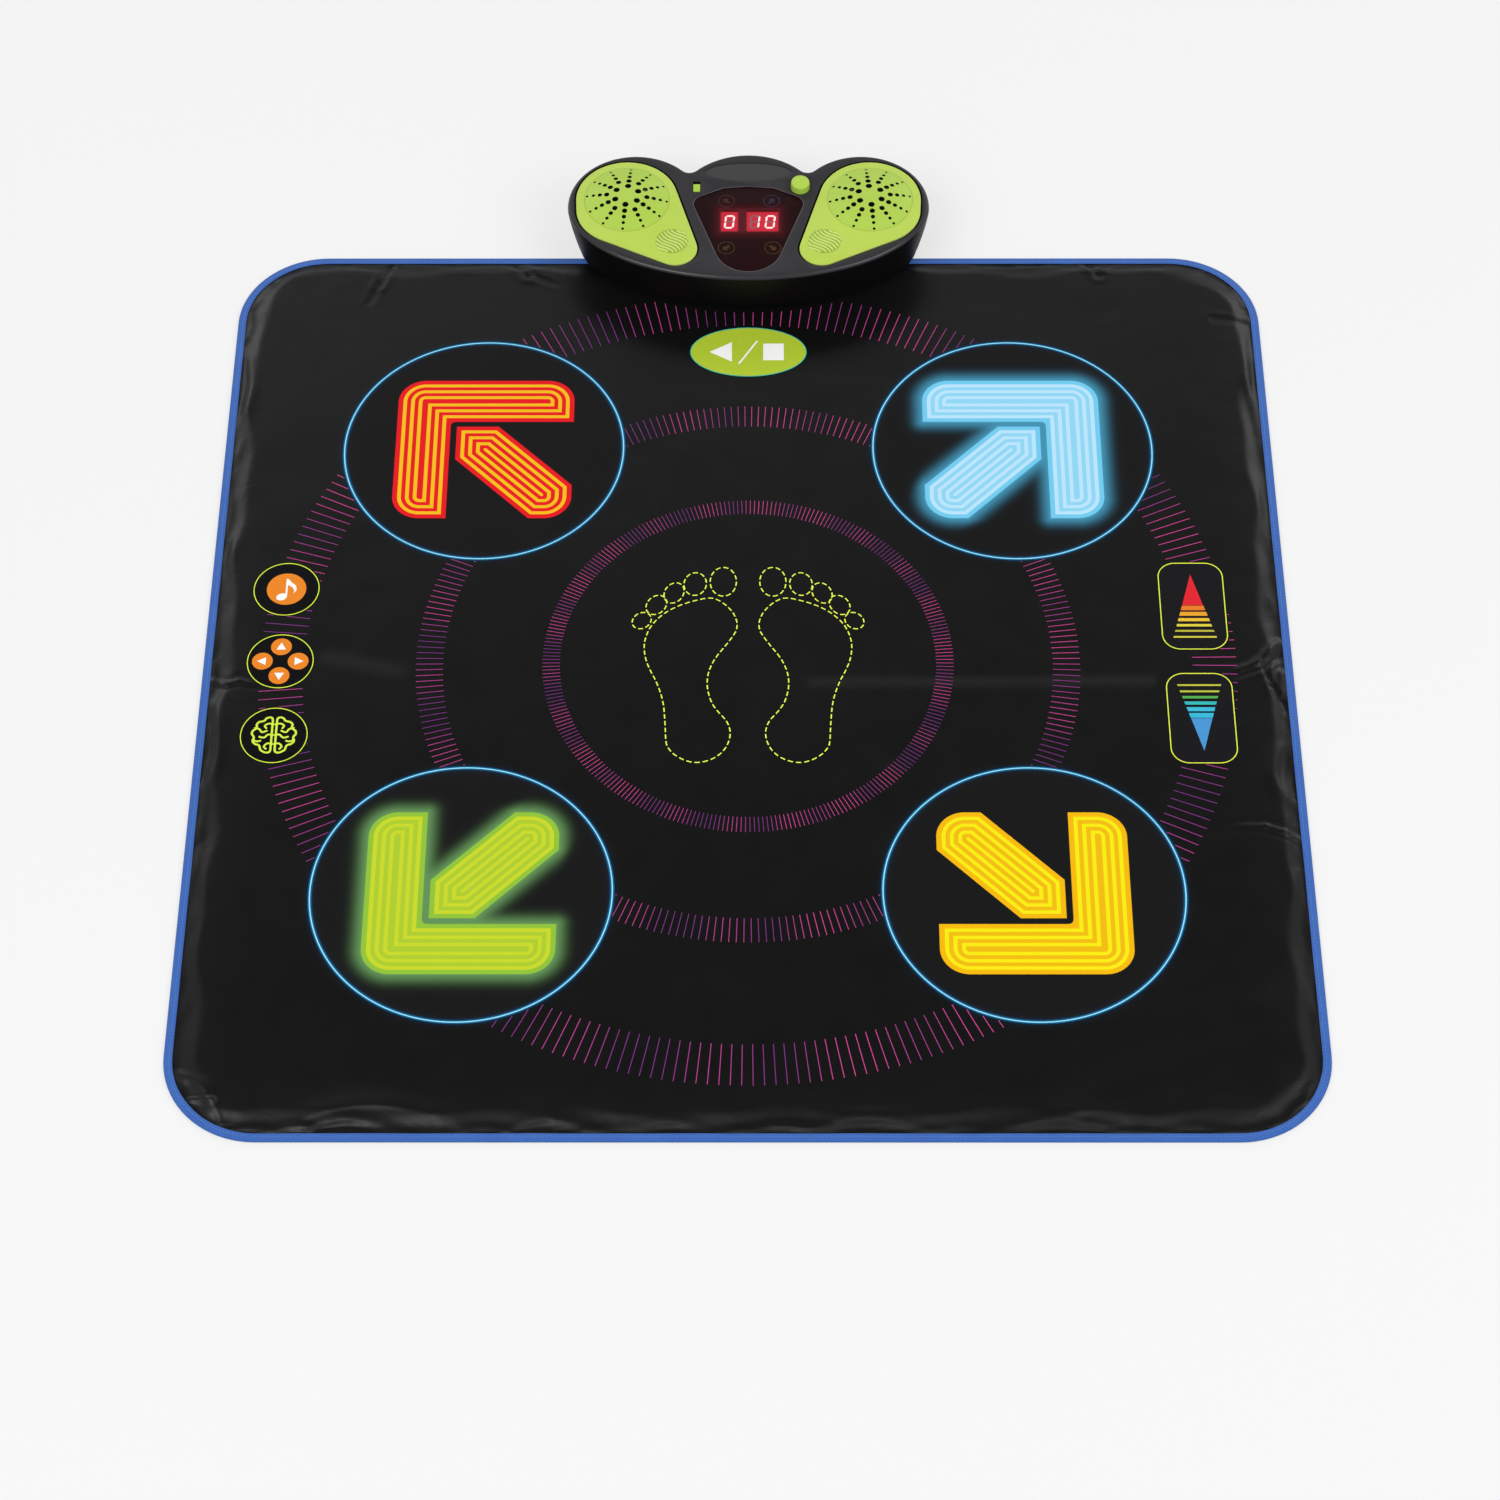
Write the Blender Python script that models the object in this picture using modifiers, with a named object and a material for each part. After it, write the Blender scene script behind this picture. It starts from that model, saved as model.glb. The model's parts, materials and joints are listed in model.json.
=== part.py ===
"""Light-up dance mat: a layered floor mat with ten pressable zones and a control box on its rear edge.

The origin is on the floor under the middle of the mat, +X to the player's right, +Y to the control box.
"""

import math

import bmesh
import bpy
from mathutils import Matrix, Vector

# Running clearance between pieces that touch
GAP = 0.0003

# Mat outline
MAT_SIDE = 0.9017
MAT_CORNER = 0.076
CORNER_STEPS = 7

# Thicknesses of the mat's layers, from the floor up
BASE_SHEET = 0.0006
FOAM = 0.0025
FILM = 0.0002
SPACER = 0.0012
TOP_SHEET = 0.0005

# Edge of the mat: both sheets taper together and a woven tape is folded round them
TAPE = 0.0005
TAPE_WIDTH = 0.0070
TAPE_ROUND = 0.0012
FLANGE_END = 0.0014
FLANGE_WIDTH = 0.0090
BASE_RAMP = 0.0024
PLATEAU_INSET = 0.0280
CORE_INSET = 0.0300

# Pressable zones, measured from the mat's edge so that they follow its size
ARROW_RADIUS = 0.1220
ARROW_EDGE = 0.2235
PLAY_HALF_X = 0.0515
PLAY_HALF_Y = 0.0287
PLAY_EDGE = 0.1140
MODE_RADIUS = 0.0280
MODE_EDGE = 0.0640
MODE_PITCH = 0.0750
LEVEL_HALF_X = 0.0277
LEVEL_HALF_Y = 0.0457
LEVEL_CORNER = 0.0155
LEVEL_EDGE = 0.0795
LEVEL_PITCH = 0.1150
ARROW_STEPS = 40
SMALL_ZONE_STEPS = 20
ZONE_CUT = 0.0004
ZONE_RELIEF = 0.0009

# Light guides and their boards, in pockets of the foam under the arrows
GUIDE_SIDE = 0.1520
GUIDE_CORNER = 0.0200
GUIDE = 0.0011
LED_BOARD = 0.0006
LED_BOARD_WIDTH = 0.0120
LED_BOARD_LENGTH = 0.1400
POCKET_FLOOR = 0.0002

# Control box: two round lobes, a rear arch between them and an elliptic front
BOX_HALF_WIDTH = 0.1605
BOX_SETBACK = 0.0152
BOX_TOP = 0.0560
BOX_TAPER = 0.0105
LOBE_RADIUS = 0.0600
FRONT_DEPTH = 0.0880
DIP_ANGLE = 134.6
DIP_RADIUS = 0.0080
ARCH_RISE = 0.0617
RIM_RADIUS = 0.0040
BOX_WALL = 0.0022
BOX_PLATE = 0.0044
PARTING = 0.0140
FOOT_STAND = 0.0016
BOX_FLOOR = 0.0020
STEP_CLEARANCE = 0.0015
FRONT_STEPS = 28
LOBE_STEPS = 10
DIP_STEPS = 3
ARCH_STEPS = 8
RIM_STEPS = 2

# Speaker grilles: teardrop panels with a pierced dome
PANEL_RADIUS = 0.0450
PANEL_HIP_RADIUS = 0.0405
PANEL_HIP_X = 0.0040
PANEL_HIP_Y = -0.0110
PANEL_TAIL_RADIUS = 0.0193
PANEL_TAIL_X = -0.0435
PANEL_TAIL_Y = -0.0580
PANEL = 0.0022
PANEL_PROUD = 0.0002
DOME_X = 0.0073
DOME_Y = 0.0055
DOME_RADIUS = 0.0375
DOME_RISE = 0.0062
DOME_WALL = 0.0018
DOME_RINGS = 3
DOME_STEPS = 20
SOUND_HOLE = 0.0250
SPOKES = 12
INNER_RING = 0.0111
INNER_HOLE = 0.0026
SPOKE_RADII = (0.0179, 0.0240, 0.0298, 0.0355)
SPOKE_HOLES = (0.0022, 0.0018, 0.0014, 0.0011)

# Speakers
SPEAKER_RADIUS = 0.0285
SPEAKER_RIM = 0.0015
BASKET_RADIUS = 0.0258
CONE_RADIUS = 0.0228
MAGNET_RADIUS = 0.0145
BASKET_FLOOR = 0.0088
SPEAKER_DEPTH = 0.0183

# Display lens: a shield drawn round circles at its corners, shoulders, crown and chin
LENS_CORNER = 0.0110
LENS_CORNER_X = 0.0378
LENS_CORNER_Y = 0.0002
LENS_SHOULDER = 0.0080
LENS_SHOULDER_X = 0.0203
LENS_SHOULDER_Y = 0.0118
LENS_CROWN = 0.0080
LENS_CROWN_Y = 0.0140
LENS_CHIN = 0.0300
LENS_CHIN_Y = -0.0500
LENS = 0.0020
LENS_LEDGE = 0.0035

# Number displays and the board that carries them
DISPLAY = 0.0080
DISPLAY_HALF_Y = 0.0125
DISPLAY_Y = -0.0181
SCORE_X = -0.0168
SCORE_HALF_X = 0.0078
LEVEL_DISPLAY_X = 0.0124
LEVEL_DISPLAY_HALF_X = 0.0142
DISPLAY_BELOW_LENS = 0.0014
BOARD = 0.0016
BOARD_HALF_X = 0.0600
BOARD_HALF_Y = 0.0490
BOARD_Y = -0.0190
BOARD_CORNER = 0.0030
POST_RADIUS = 0.0030
POST_X = 0.0545
POST_FRONT_Y = -0.0610
POST_REAR_Y = 0.0020

# Round start button and its switch
BUTTON_X = 0.0460
BUTTON_Y = 0.0210
BUTTON_RADIUS = 0.0083
BUTTON_RISE = 0.0077
BUTTON_TRAVEL = 0.0020
BUTTON_FLANGE = 0.0022
BUTTON_DISH = 0.0024
BUTTON_DISH_DEPTH = 0.0010
TACT_HALF = 0.0030
TACT_BODY = 0.0024
TACT_PLUNGER = 0.0006
TACT_PLUNGER_RADIUS = 0.0017

# Slide switch
KNOB_X = -0.0460
KNOB_Y = 0.0210
KNOB_HALF_X = 0.0030
KNOB_HALF_Y = 0.0042
KNOB_RISE = 0.0008
KNOB_TRAVEL = 0.0034
KNOB_FLANGE = 0.0018
KNOB_FLANGE_THICK = 0.0013
SWITCH_HALF_X = 0.0045
SWITCH_HALF_Y = 0.0100

# Bare oval plaque, sunk into the rear arch
PLAQUE_HALF_X = 0.0380
PLAQUE_HALF_Y = 0.0110
PLAQUE_Y = 0.0392
PLAQUE_DEPTH = 0.0005

# Battery bay for four AA cells in two rows
CELL_RADIUS = 0.0071
CELL_LENGTH = 0.0505
CELL_NUB_RADIUS = 0.0026
CELL_NUB = 0.0010
CONTACT = 0.0005
CONTACT_SPRING = 0.0036
CONTACT_SPRING_RADIUS = 0.0040
CONTACT_TIP_RADIUS = 0.0024
BAY_WALL = 0.0016
COVER = 0.0014
COVER_LIP = 0.0017
COVER_TONGUE = 0.0020
COVER_TONGUE_THICK = 0.0007
COVER_TAIL = 0.0030
BAY_BLOCK_MARGIN = 0.0030
CHANNEL_ROOF = 0.0020

# Screws that close the box, on a circle round each lobe's centre
SCREW_CIRCLE = 0.0410
SCREW_ANGLES = (-9.0, 80.0)
BOSS_RADIUS = 0.0042
SCREW_HEAD_RADIUS = 0.0028
SCREW_HEAD = 0.0018
SCREW_SHANK_RADIUS = 0.0013
SCREW_REACH = 0.0220

# Rubber feet under the part of the box that hangs over the floor
FOOT_RADIUS = 0.0065
FOOT_RECESS = 0.0008
FOOT_PLACES = ((0.0330, 35.0), (0.0280, 180.0))

# Clamp strip in the mat and the screws that draw the box down on it
STRIP_HALF_X = 0.0600
STRIP_HALF_Y = 0.0060
STRIP = 0.0015
STRIP_EDGE = 0.0410
MAT_SCREW_X = 0.0500
MAT_SCREW_HEAD_RADIUS = 0.0032
MAT_SCREW_HEAD = 0.0016
MAT_SCREW_RADIUS = 0.0015

# Flat ribbon cable from the contact film up to the board
RIBBON = 0.0004
RIBBON_HALF_X = 0.0120
RIBBON_EDGE = 0.0330
RIBBON_TAIL = 0.0200
RIBBON_BEND = 0.0030
RIBBON_BEND_STEPS = 5

# Levels worked out from the layers
FOAM_LOW = BASE_SHEET + GAP
FOAM_TOP = FOAM_LOW + FOAM
FILM_LOW = FOAM_TOP + GAP
FILM_TOP = FILM_LOW + FILM
SPACER_LOW = FILM_TOP + GAP
SPACER_TOP = SPACER_LOW + SPACER
SHEET_LOW = SPACER_TOP + GAP
MAT_TOP = SHEET_LOW + TOP_SHEET
BASE_FLANGE = TAPE + GAP
TOP_FLANGE = BASE_FLANGE + BASE_SHEET + GAP
EDGE_TOP = TOP_FLANGE + TOP_SHEET + GAP + TAPE
POCKET = FOAM_LOW + POCKET_FLOOR

# Places worked out from the mat's edge
MAT_HALF = MAT_SIDE / 2
ARROW = MAT_HALF - ARROW_EDGE
BOX_Y = MAT_HALF + BOX_SETBACK
LOBE_X = BOX_HALF_WIDTH - LOBE_RADIUS
STEP_Y = MAT_HALF + STEP_CLEARANCE
STRIP_Y = MAT_HALF - STRIP_EDGE
RIBBON_Y = MAT_HALF - RIBBON_EDGE

# Levels and places worked out from the box
BOX_UNDER = MAT_TOP + GAP
FRONT_FLOOR = BOX_UNDER + BOX_FLOOR
REAR_FLOOR = FOOT_STAND + BOX_FLOOR
PLATE_UNDER = BOX_TOP - BOX_PLATE
PANEL_LOW = BOX_TOP + PANEL_PROUD - PANEL
LENS_LOW = BOX_TOP - LENS
DISPLAY_TOP = LENS_LOW - DISPLAY_BELOW_LENS
BOARD_TOP = DISPLAY_TOP - DISPLAY - GAP
BOARD_LOW = BOARD_TOP - BOARD
TACT_LOW = BOARD_TOP + GAP
TACT_TOP = TACT_LOW + TACT_BODY + TACT_PLUNGER
BUTTON_LOW = TACT_TOP + GAP + BUTTON_TRAVEL
SPEAKER_TOP = PLATE_UNDER - GAP
SPEAKER_X = LOBE_X + DOME_X
SPEAKER_Y = BOX_Y + DOME_Y
KNOB_FLANGE_TOP = PLATE_UNDER - GAP
KNOB_FLANGE_LOW = KNOB_FLANGE_TOP - KNOB_FLANGE_THICK

# Battery bay worked out from the cells
COVER_LOW = FOOT_STAND + GAP
COVER_TOP = COVER_LOW + COVER
CELL_Z = COVER_TOP + GAP + CELL_RADIUS
BAY_TOP = CELL_Z + CELL_RADIUS + GAP
BAY_FRONT = STEP_Y + BOX_WALL
CELL_ROWS = (BAY_FRONT + GAP + CELL_RADIUS, BAY_FRONT + 2 * GAP + 3 * CELL_RADIUS)
BAY_REAR = CELL_ROWS[1] + CELL_RADIUS + GAP
CELL_END = CELL_LENGTH + 1.5 * GAP
BAY_HALF_X = CELL_END + CONTACT_SPRING + CONTACT + GAP
COVER_HALF_X = BAY_HALF_X + COVER_LIP
COVER_TONGUE_X = COVER_HALF_X + COVER_TONGUE
BAY_BLOCK_X = COVER_TONGUE_X + BAY_BLOCK_MARGIN

# Reach of cutters past what they cut
PAST = 0.0010
FAR = 0.4000


def empty_scene():
    """Removes whatever the scene holds and makes the collections of parts and cutters."""
    for old in list(bpy.data.objects):
        bpy.data.objects.remove(old, do_unlink=True)
    made = []
    for name in ("light_up_dance_mat", "cutters"):
        collection = bpy.data.collections.new(name)
        bpy.context.scene.collection.children.link(collection)
        made.append(collection)
    return made


PARTS, CUTTERS = empty_scene()


def finish(name, colour, roughness, metallic=0.0):
    """A plain material of one colour."""
    material = bpy.data.materials.new(name)
    material.use_nodes = True
    shader = material.node_tree.nodes["Principled BSDF"]
    shader.inputs["Base Color"].default_value = (*colour, 1.0)
    shader.inputs["Roughness"].default_value = roughness
    shader.inputs["Metallic"].default_value = metallic
    material.diffuse_color = (*colour, 1.0)
    return material


VINYL = finish("black_vinyl", (0.012, 0.012, 0.013), 0.35)
NON_SLIP = finish("non_slip_backing", (0.020, 0.020, 0.022), 0.85)
FOAM_GREY = finish("foam", (0.35, 0.35, 0.36), 0.95)
CLEAR_FILM = finish("printed_film", (0.55, 0.60, 0.62), 0.25)
BLUE_TAPE = finish("blue_binding", (0.030, 0.130, 0.560), 0.75)
CLEAR_ACRYLIC = finish("clear_acrylic", (0.80, 0.85, 0.88), 0.10)
CIRCUIT_GREEN = finish("circuit_board", (0.020, 0.140, 0.060), 0.45)
CHARCOAL = finish("charcoal_plastic", (0.026, 0.025, 0.028), 0.40)
LIME = finish("lime_plastic", (0.440, 0.740, 0.070), 0.40)
SMOKED_RED = finish("smoked_red_acrylic", (0.020, 0.003, 0.005), 0.08)
DISPLAY_RED = finish("display_red", (0.350, 0.010, 0.030), 0.30)
STEEL = finish("plated_steel", (0.55, 0.55, 0.56), 0.35, 1.0)
DARK_PAPER = finish("speaker_paper", (0.015, 0.015, 0.016), 0.90)
RUBBER = finish("rubber", (0.030, 0.030, 0.032), 0.90)
CELL_JACKET = finish("cell_jacket", (0.420, 0.420, 0.440), 0.35, 0.6)
RIBBON_GREY = finish("ribbon_grey", (0.50, 0.50, 0.50), 0.50)
SWITCH_BLACK = finish("switch_black", (0.015, 0.015, 0.015), 0.50)


def place(name, mesh, material, origin=(0.0, 0.0, 0.0)):
    """Puts a mesh in the scene as a part, or as a cutter when it has no material."""
    piece = bpy.data.objects.new(name, mesh)
    piece.location = origin
    if material is None:
        CUTTERS.objects.link(piece)
        piece.hide_render = True
        piece.display_type = "WIRE"
    else:
        PARTS.objects.link(piece)
        mesh.materials.append(material)
    bpy.context.view_layer.update()
    return piece


def from_bmesh(name, shape, material, origin=(0.0, 0.0, 0.0)):
    """Closes a bmesh into a piece, with its faces turned outwards."""
    bmesh.ops.recalc_face_normals(shape, faces=shape.faces)
    mesh = bpy.data.meshes.new(name)
    shape.to_mesh(mesh)
    shape.free()
    return place(name, mesh, material, origin)


def smooth(piece, degrees=35.0):
    """Shades a round piece smooth and leaves its real edges sharp."""
    piece.data.shade_smooth()
    piece.data.set_sharp_from_angle(angle=math.radians(degrees))
    return piece


def block(name, low, high, material, origin=(0.0, 0.0, 0.0)):
    """A box between two corners."""
    low, high, origin = Vector(low), Vector(high), Vector(origin)
    shape = bmesh.new()
    bmesh.ops.create_cube(shape, size=1.0)
    bmesh.ops.scale(shape, vec=high - low, verts=shape.verts)
    bmesh.ops.translate(shape, vec=(low + high) / 2 - origin, verts=shape.verts)
    return from_bmesh(name, shape, material, origin)


def disc(name, x, y, radius, low, high, material, sides=20, top_radius=None):
    """An upright cylinder or cone between two levels, with its origin at the foot of its axis."""
    shape = bmesh.new()
    top_radius = radius if top_radius is None else top_radius
    bmesh.ops.create_cone(
        shape, cap_ends=True, segments=sides, radius1=radius, radius2=top_radius, depth=high - low
    )
    bmesh.ops.translate(shape, vec=(0.0, 0.0, (high - low) / 2), verts=shape.verts)
    return smooth(from_bmesh(name, shape, material, (x, y, low)))


def plates(name, outlines, low, high, material, centre=(0.0, 0.0)):
    """Flat sheets of the given outlines between two levels, with their origin at the centre's foot."""
    curve = bpy.data.curves.new(name, "CURVE")
    curve.dimensions = "2D"
    curve.fill_mode = "BOTH"
    curve.extrude = (high - low) / 2
    for outline in outlines:
        spline = curve.splines.new("POLY")
        spline.points.add(len(outline) - 1)
        for point, (x, y) in zip(spline.points, outline):
            point.co = (x - centre[0], y - centre[1], 0.0, 1.0)
        spline.use_cyclic_u = True
    guide = bpy.data.objects.new(name, curve)
    CUTTERS.objects.link(guide)
    bpy.context.view_layer.update()
    graph = bpy.context.evaluated_depsgraph_get()
    mesh = bpy.data.meshes.new_from_object(guide.evaluated_get(graph))
    bpy.data.objects.remove(guide)
    shape = bmesh.new()
    shape.from_mesh(mesh)
    bpy.data.meshes.remove(mesh)
    bmesh.ops.remove_doubles(shape, verts=shape.verts, dist=0.00001)
    bmesh.ops.translate(shape, vec=(0.0, 0.0, (high - low) / 2), verts=shape.verts)
    return from_bmesh(name, shape, material, (*centre, low))


def plate(name, outline, low, high, material, centre=(0.0, 0.0)):
    """One flat sheet of the given outline."""
    return plates(name, [outline], low, high, material, centre)


def loft(name, rings, material, closed=False):
    """A solid skinned over rings of equal counts, capped at both ends or closed on itself."""
    shape = bmesh.new()
    rows = [[shape.verts.new(point) for point in ring] for ring in rings]
    count = len(rows[0])
    pairs = list(zip(rows, rows[1:]))
    if closed:
        pairs.append((rows[-1], rows[0]))
    else:
        shape.faces.new(rows[0])
        shape.faces.new(rows[-1])
    for lower, upper in pairs:
        for i in range(count):
            j = (i + 1) % count
            shape.faces.new((lower[i], lower[j], upper[j], upper[i]))
    return smooth(from_bmesh(name, shape, material))


def turned(name, profile, origin, material, steps=36):
    """A turned piece: its profile of radius and height runs from the top of the axis down the outside."""
    line = bpy.data.meshes.new(name)
    edges = [(i, i + 1) for i in range(len(profile) - 1)]
    line.from_pydata([(radius, 0.0, height) for radius, height in profile], edges, [])
    guide = place(name, line, None)
    screw = guide.modifiers.new("turn", "SCREW")
    screw.axis = "Z"
    screw.steps = steps
    screw.render_steps = steps
    screw.use_merge_vertices = True
    screw.merge_threshold = 0.00001
    graph = bpy.context.evaluated_depsgraph_get()
    mesh = bpy.data.meshes.new_from_object(guide.evaluated_get(graph))
    bpy.data.objects.remove(guide)
    return smooth(place(name, mesh, material, origin))


def combine(piece, operation, others):
    """Adds one Boolean for each of the other solids."""
    for other in others:
        boolean = piece.modifiers.new(other.name, "BOOLEAN")
        boolean.operation = operation
        boolean.solver = "EXACT"
        boolean.object = other
    return piece


def cut(piece, *others):
    return combine(piece, "DIFFERENCE", others)


def join(piece, *others):
    return combine(piece, "UNION", others)


def arc(x, y, radius, start, end, steps):
    """Points on an arc between two angles in radians, both ends included."""
    angles = [start + (end - start) * i / steps for i in range(steps + 1)]
    return [(x + radius * math.cos(a), y + radius * math.sin(a)) for a in angles]


def oval(x, y, half_x, half_y, steps):
    """Points round an ellipse."""
    angles = [math.tau * i / steps for i in range(steps)]
    return [(x + half_x * math.cos(a), y + half_y * math.sin(a)) for a in angles]


def rounded_rectangle(x, y, half_x, half_y, radius, steps):
    """Points round a rectangle with round corners, counter-clockwise from the right-hand corner."""
    points = []
    for quarter, (sx, sy) in enumerate(((1, 1), (-1, 1), (-1, -1), (1, -1))):
        start = quarter * math.pi / 2
        centre_x = x + sx * (half_x - radius)
        centre_y = y + sy * (half_y - radius)
        points += arc(centre_x, centre_y, radius, start, start + math.pi / 2, steps)
    return points


def band_round(circles, steps=32):
    """The outline of a band stretched round circles given as x, y and radius."""
    points = []
    for x, y, radius in circles:
        points += oval(x, y, radius, radius, steps)
    points = sorted(set((round(px, 7), round(py, 7)) for px, py in points))

    def half(ordered):
        chain = []
        for point in ordered:
            while len(chain) > 1:
                (ax, ay), (bx, by) = chain[-2], chain[-1]
                if (bx - ax) * (point[1] - ay) - (by - ay) * (point[0] - ax) > 0:
                    break
                chain.pop()
            chain.append(point)
        return chain[:-1]

    return half(points) + half(points[::-1])


def at_height(points, z):
    return [(x, y, z) for x, y in points]


def mat_ring(inset, z):
    """The mat's outline, drawn in by an inset, at a height."""
    half = MAT_HALF - inset
    return at_height(rounded_rectangle(0.0, 0.0, half, half, MAT_CORNER - inset, CORNER_STEPS), z)


def core_outline():
    half = MAT_HALF - CORE_INSET
    return rounded_rectangle(0.0, 0.0, half, half, MAT_CORNER - CORE_INSET, CORNER_STEPS)


def box_edge():
    """Points of the box's widest outline with their outward directions, from the front round the right.

    Each lobe ends at the dip's angle, and the rear arch is the circle that meets both dips and its own rise.
    """
    edge = []
    for i in range(FRONT_STEPS // 2):
        angle = -math.pi / 2 + math.pi * i / FRONT_STEPS
        x, y = BOX_HALF_WIDTH * math.cos(angle), FRONT_DEPTH * math.sin(angle)
        slope = Vector((x / BOX_HALF_WIDTH**2, y / FRONT_DEPTH**2)).normalized()
        edge.append((Vector((x, y)), slope))
    lobe = Vector((LOBE_X, 0.0))
    lobe_end = math.radians(DIP_ANGLE)
    dip = lobe + Vector((math.cos(lobe_end), math.sin(lobe_end))) * (LOBE_RADIUS + DIP_RADIUS)
    arch_radius = (dip.x**2 + (ARCH_RISE - dip.y) ** 2 - DIP_RADIUS**2) / (
        2 * (DIP_RADIUS + ARCH_RISE - dip.y)
    )
    arch = Vector((0.0, ARCH_RISE - arch_radius))
    arch_start = math.atan2(*(dip - arch).yx)
    for i in range(LOBE_STEPS + 1):
        angle = lobe_end * i / LOBE_STEPS
        way = Vector((math.cos(angle), math.sin(angle)))
        edge.append((lobe + way * LOBE_RADIUS, way))
    for i in range(1, DIP_STEPS):
        angle = lobe_end + (arch_start - lobe_end) * i / DIP_STEPS
        way = Vector((math.cos(angle), math.sin(angle)))
        edge.append((dip - way * DIP_RADIUS, way))
    for i in range(ARCH_STEPS // 2 + 1):
        angle = arch_start + (math.pi / 2 - arch_start) * 2 * i / ARCH_STEPS
        way = Vector((math.cos(angle), math.sin(angle)))
        edge.append((arch + way * arch_radius, way))
    mirrored = [(Vector((-p.x, p.y)), Vector((-n.x, n.y))) for p, n in edge[1:-1][::-1]]
    return edge + mirrored


BOX_EDGE = box_edge()


def box_inset(z):
    """How far the box's wall has drawn in at a height: it leans out from its foot to its rim."""
    return BOX_TAPER * max(0.0, 1.0 - z / BOX_TOP) ** 1.3


def box_ring(z, extra=0.0):
    """The box's outline at a height, drawn in by an extra distance."""
    inset = box_inset(z) + extra
    return [(p.x - n.x * inset, p.y - n.y * inset + BOX_Y, z) for p, n in BOX_EDGE]


def lobe_points(places):
    """World points given as distances and angles round the right lobe's centre, then mirrored to the left."""
    right = [
        (LOBE_X + reach * math.cos(math.radians(a)), BOX_Y + reach * math.sin(math.radians(a)))
        for reach, a in places
    ]
    return right + [(-x, y) for x, y in right]


def zone_outline(zone, grow=0.0):
    """The outline of a pressable zone, grown by a margin."""
    _, shape, x, y, half_x, half_y = zone
    if shape == "round":
        steps = ARROW_STEPS if half_x > PLAY_HALF_X else SMALL_ZONE_STEPS
        return oval(x, y, half_x + grow, half_y + grow, steps)
    return rounded_rectangle(x, y, half_x + grow, half_y + grow, LEVEL_CORNER + grow, 6)


def zones():
    """Every pressable zone of the mat: name, shape, centre and half sizes."""
    listed = []
    for side, sx in (("left", -1), ("right", 1)):
        for end, sy in (("front", -1), ("rear", 1)):
            name = f"arrow_pad_{end}_{side}"
            listed.append((name, "round", sx * ARROW, sy * ARROW, ARROW_RADIUS, ARROW_RADIUS))
    play_y = MAT_HALF - PLAY_EDGE
    listed.append(("play_stop_pad", "round", 0.0, play_y, PLAY_HALF_X, PLAY_HALF_Y))
    mode_x = MODE_EDGE - MAT_HALF
    for name, row in (("mode_pad_rear", 1), ("mode_pad_middle", 0), ("mode_pad_front", -1)):
        listed.append((name, "round", mode_x, row * MODE_PITCH, MODE_RADIUS, MODE_RADIUS))
    level_x = MAT_HALF - LEVEL_EDGE
    for name, row in (("level_up_pad", 0.5), ("level_down_pad", -0.5)):
        listed.append((name, "square", level_x, row * LEVEL_PITCH, LEVEL_HALF_X, LEVEL_HALF_Y))
    return listed


ZONES = zones()
ARROW_PLACES = [(zone[0].removeprefix("arrow_pad_"), zone[2], zone[3]) for zone in ZONES[:4]]


def screw_hole(name, x, y, radius, low, high):
    return disc(name, x, y, radius, low, high, None, sides=10)


def ribbon_slot(name, front, low, high):
    """A slot that lets the ribbon cable through a layer."""
    rear = RIBBON_Y + RIBBON + GAP
    side = RIBBON_HALF_X + GAP
    return block(name, (-side, front, low), (side, rear, high), None)


def make_sheets():
    """Non-slip base and printed top sheet, tapering to the flanges that the tape holds."""
    ramp = FLANGE_WIDTH + BASE_RAMP
    loft(
        "base_sheet",
        [
            mat_ring(ramp, 0.0),
            mat_ring(FLANGE_WIDTH, BASE_FLANGE),
            mat_ring(FLANGE_END, BASE_FLANGE),
            mat_ring(FLANGE_END, BASE_FLANGE + BASE_SHEET),
            mat_ring(FLANGE_WIDTH + BASE_SHEET, BASE_FLANGE + BASE_SHEET),
            mat_ring(ramp + BASE_SHEET, BASE_SHEET),
        ],
        NON_SLIP,
    )
    top_sheet = loft(
        "top_sheet",
        [
            mat_ring(PLATEAU_INSET, SHEET_LOW),
            mat_ring(FLANGE_WIDTH, TOP_FLANGE),
            mat_ring(FLANGE_END, TOP_FLANGE),
            mat_ring(FLANGE_END, TOP_FLANGE + TOP_SHEET),
            mat_ring(FLANGE_WIDTH, TOP_FLANGE + TOP_SHEET),
            mat_ring(PLATEAU_INSET, MAT_TOP),
        ],
        VINYL,
    )
    holes = [zone_outline(zone, ZONE_CUT) for zone in ZONES]
    cut(top_sheet, plates("sheet_holes", holes, SHEET_LOW - PAST, MAT_TOP + PAST, None))
    for x in (-MAT_SCREW_X, MAT_SCREW_X):
        name = f"sheet_screw_hole_{'left' if x < 0 else 'right'}"
        hole = screw_hole(name, x, STRIP_Y, MAT_SCREW_RADIUS + GAP, SHEET_LOW - PAST, MAT_TOP + PAST)
        cut(top_sheet, hole)
    front = RIBBON_Y - RIBBON_BEND
    cut(top_sheet, ribbon_slot("sheet_ribbon_slot", front, SHEET_LOW - PAST, MAT_TOP + PAST))


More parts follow.
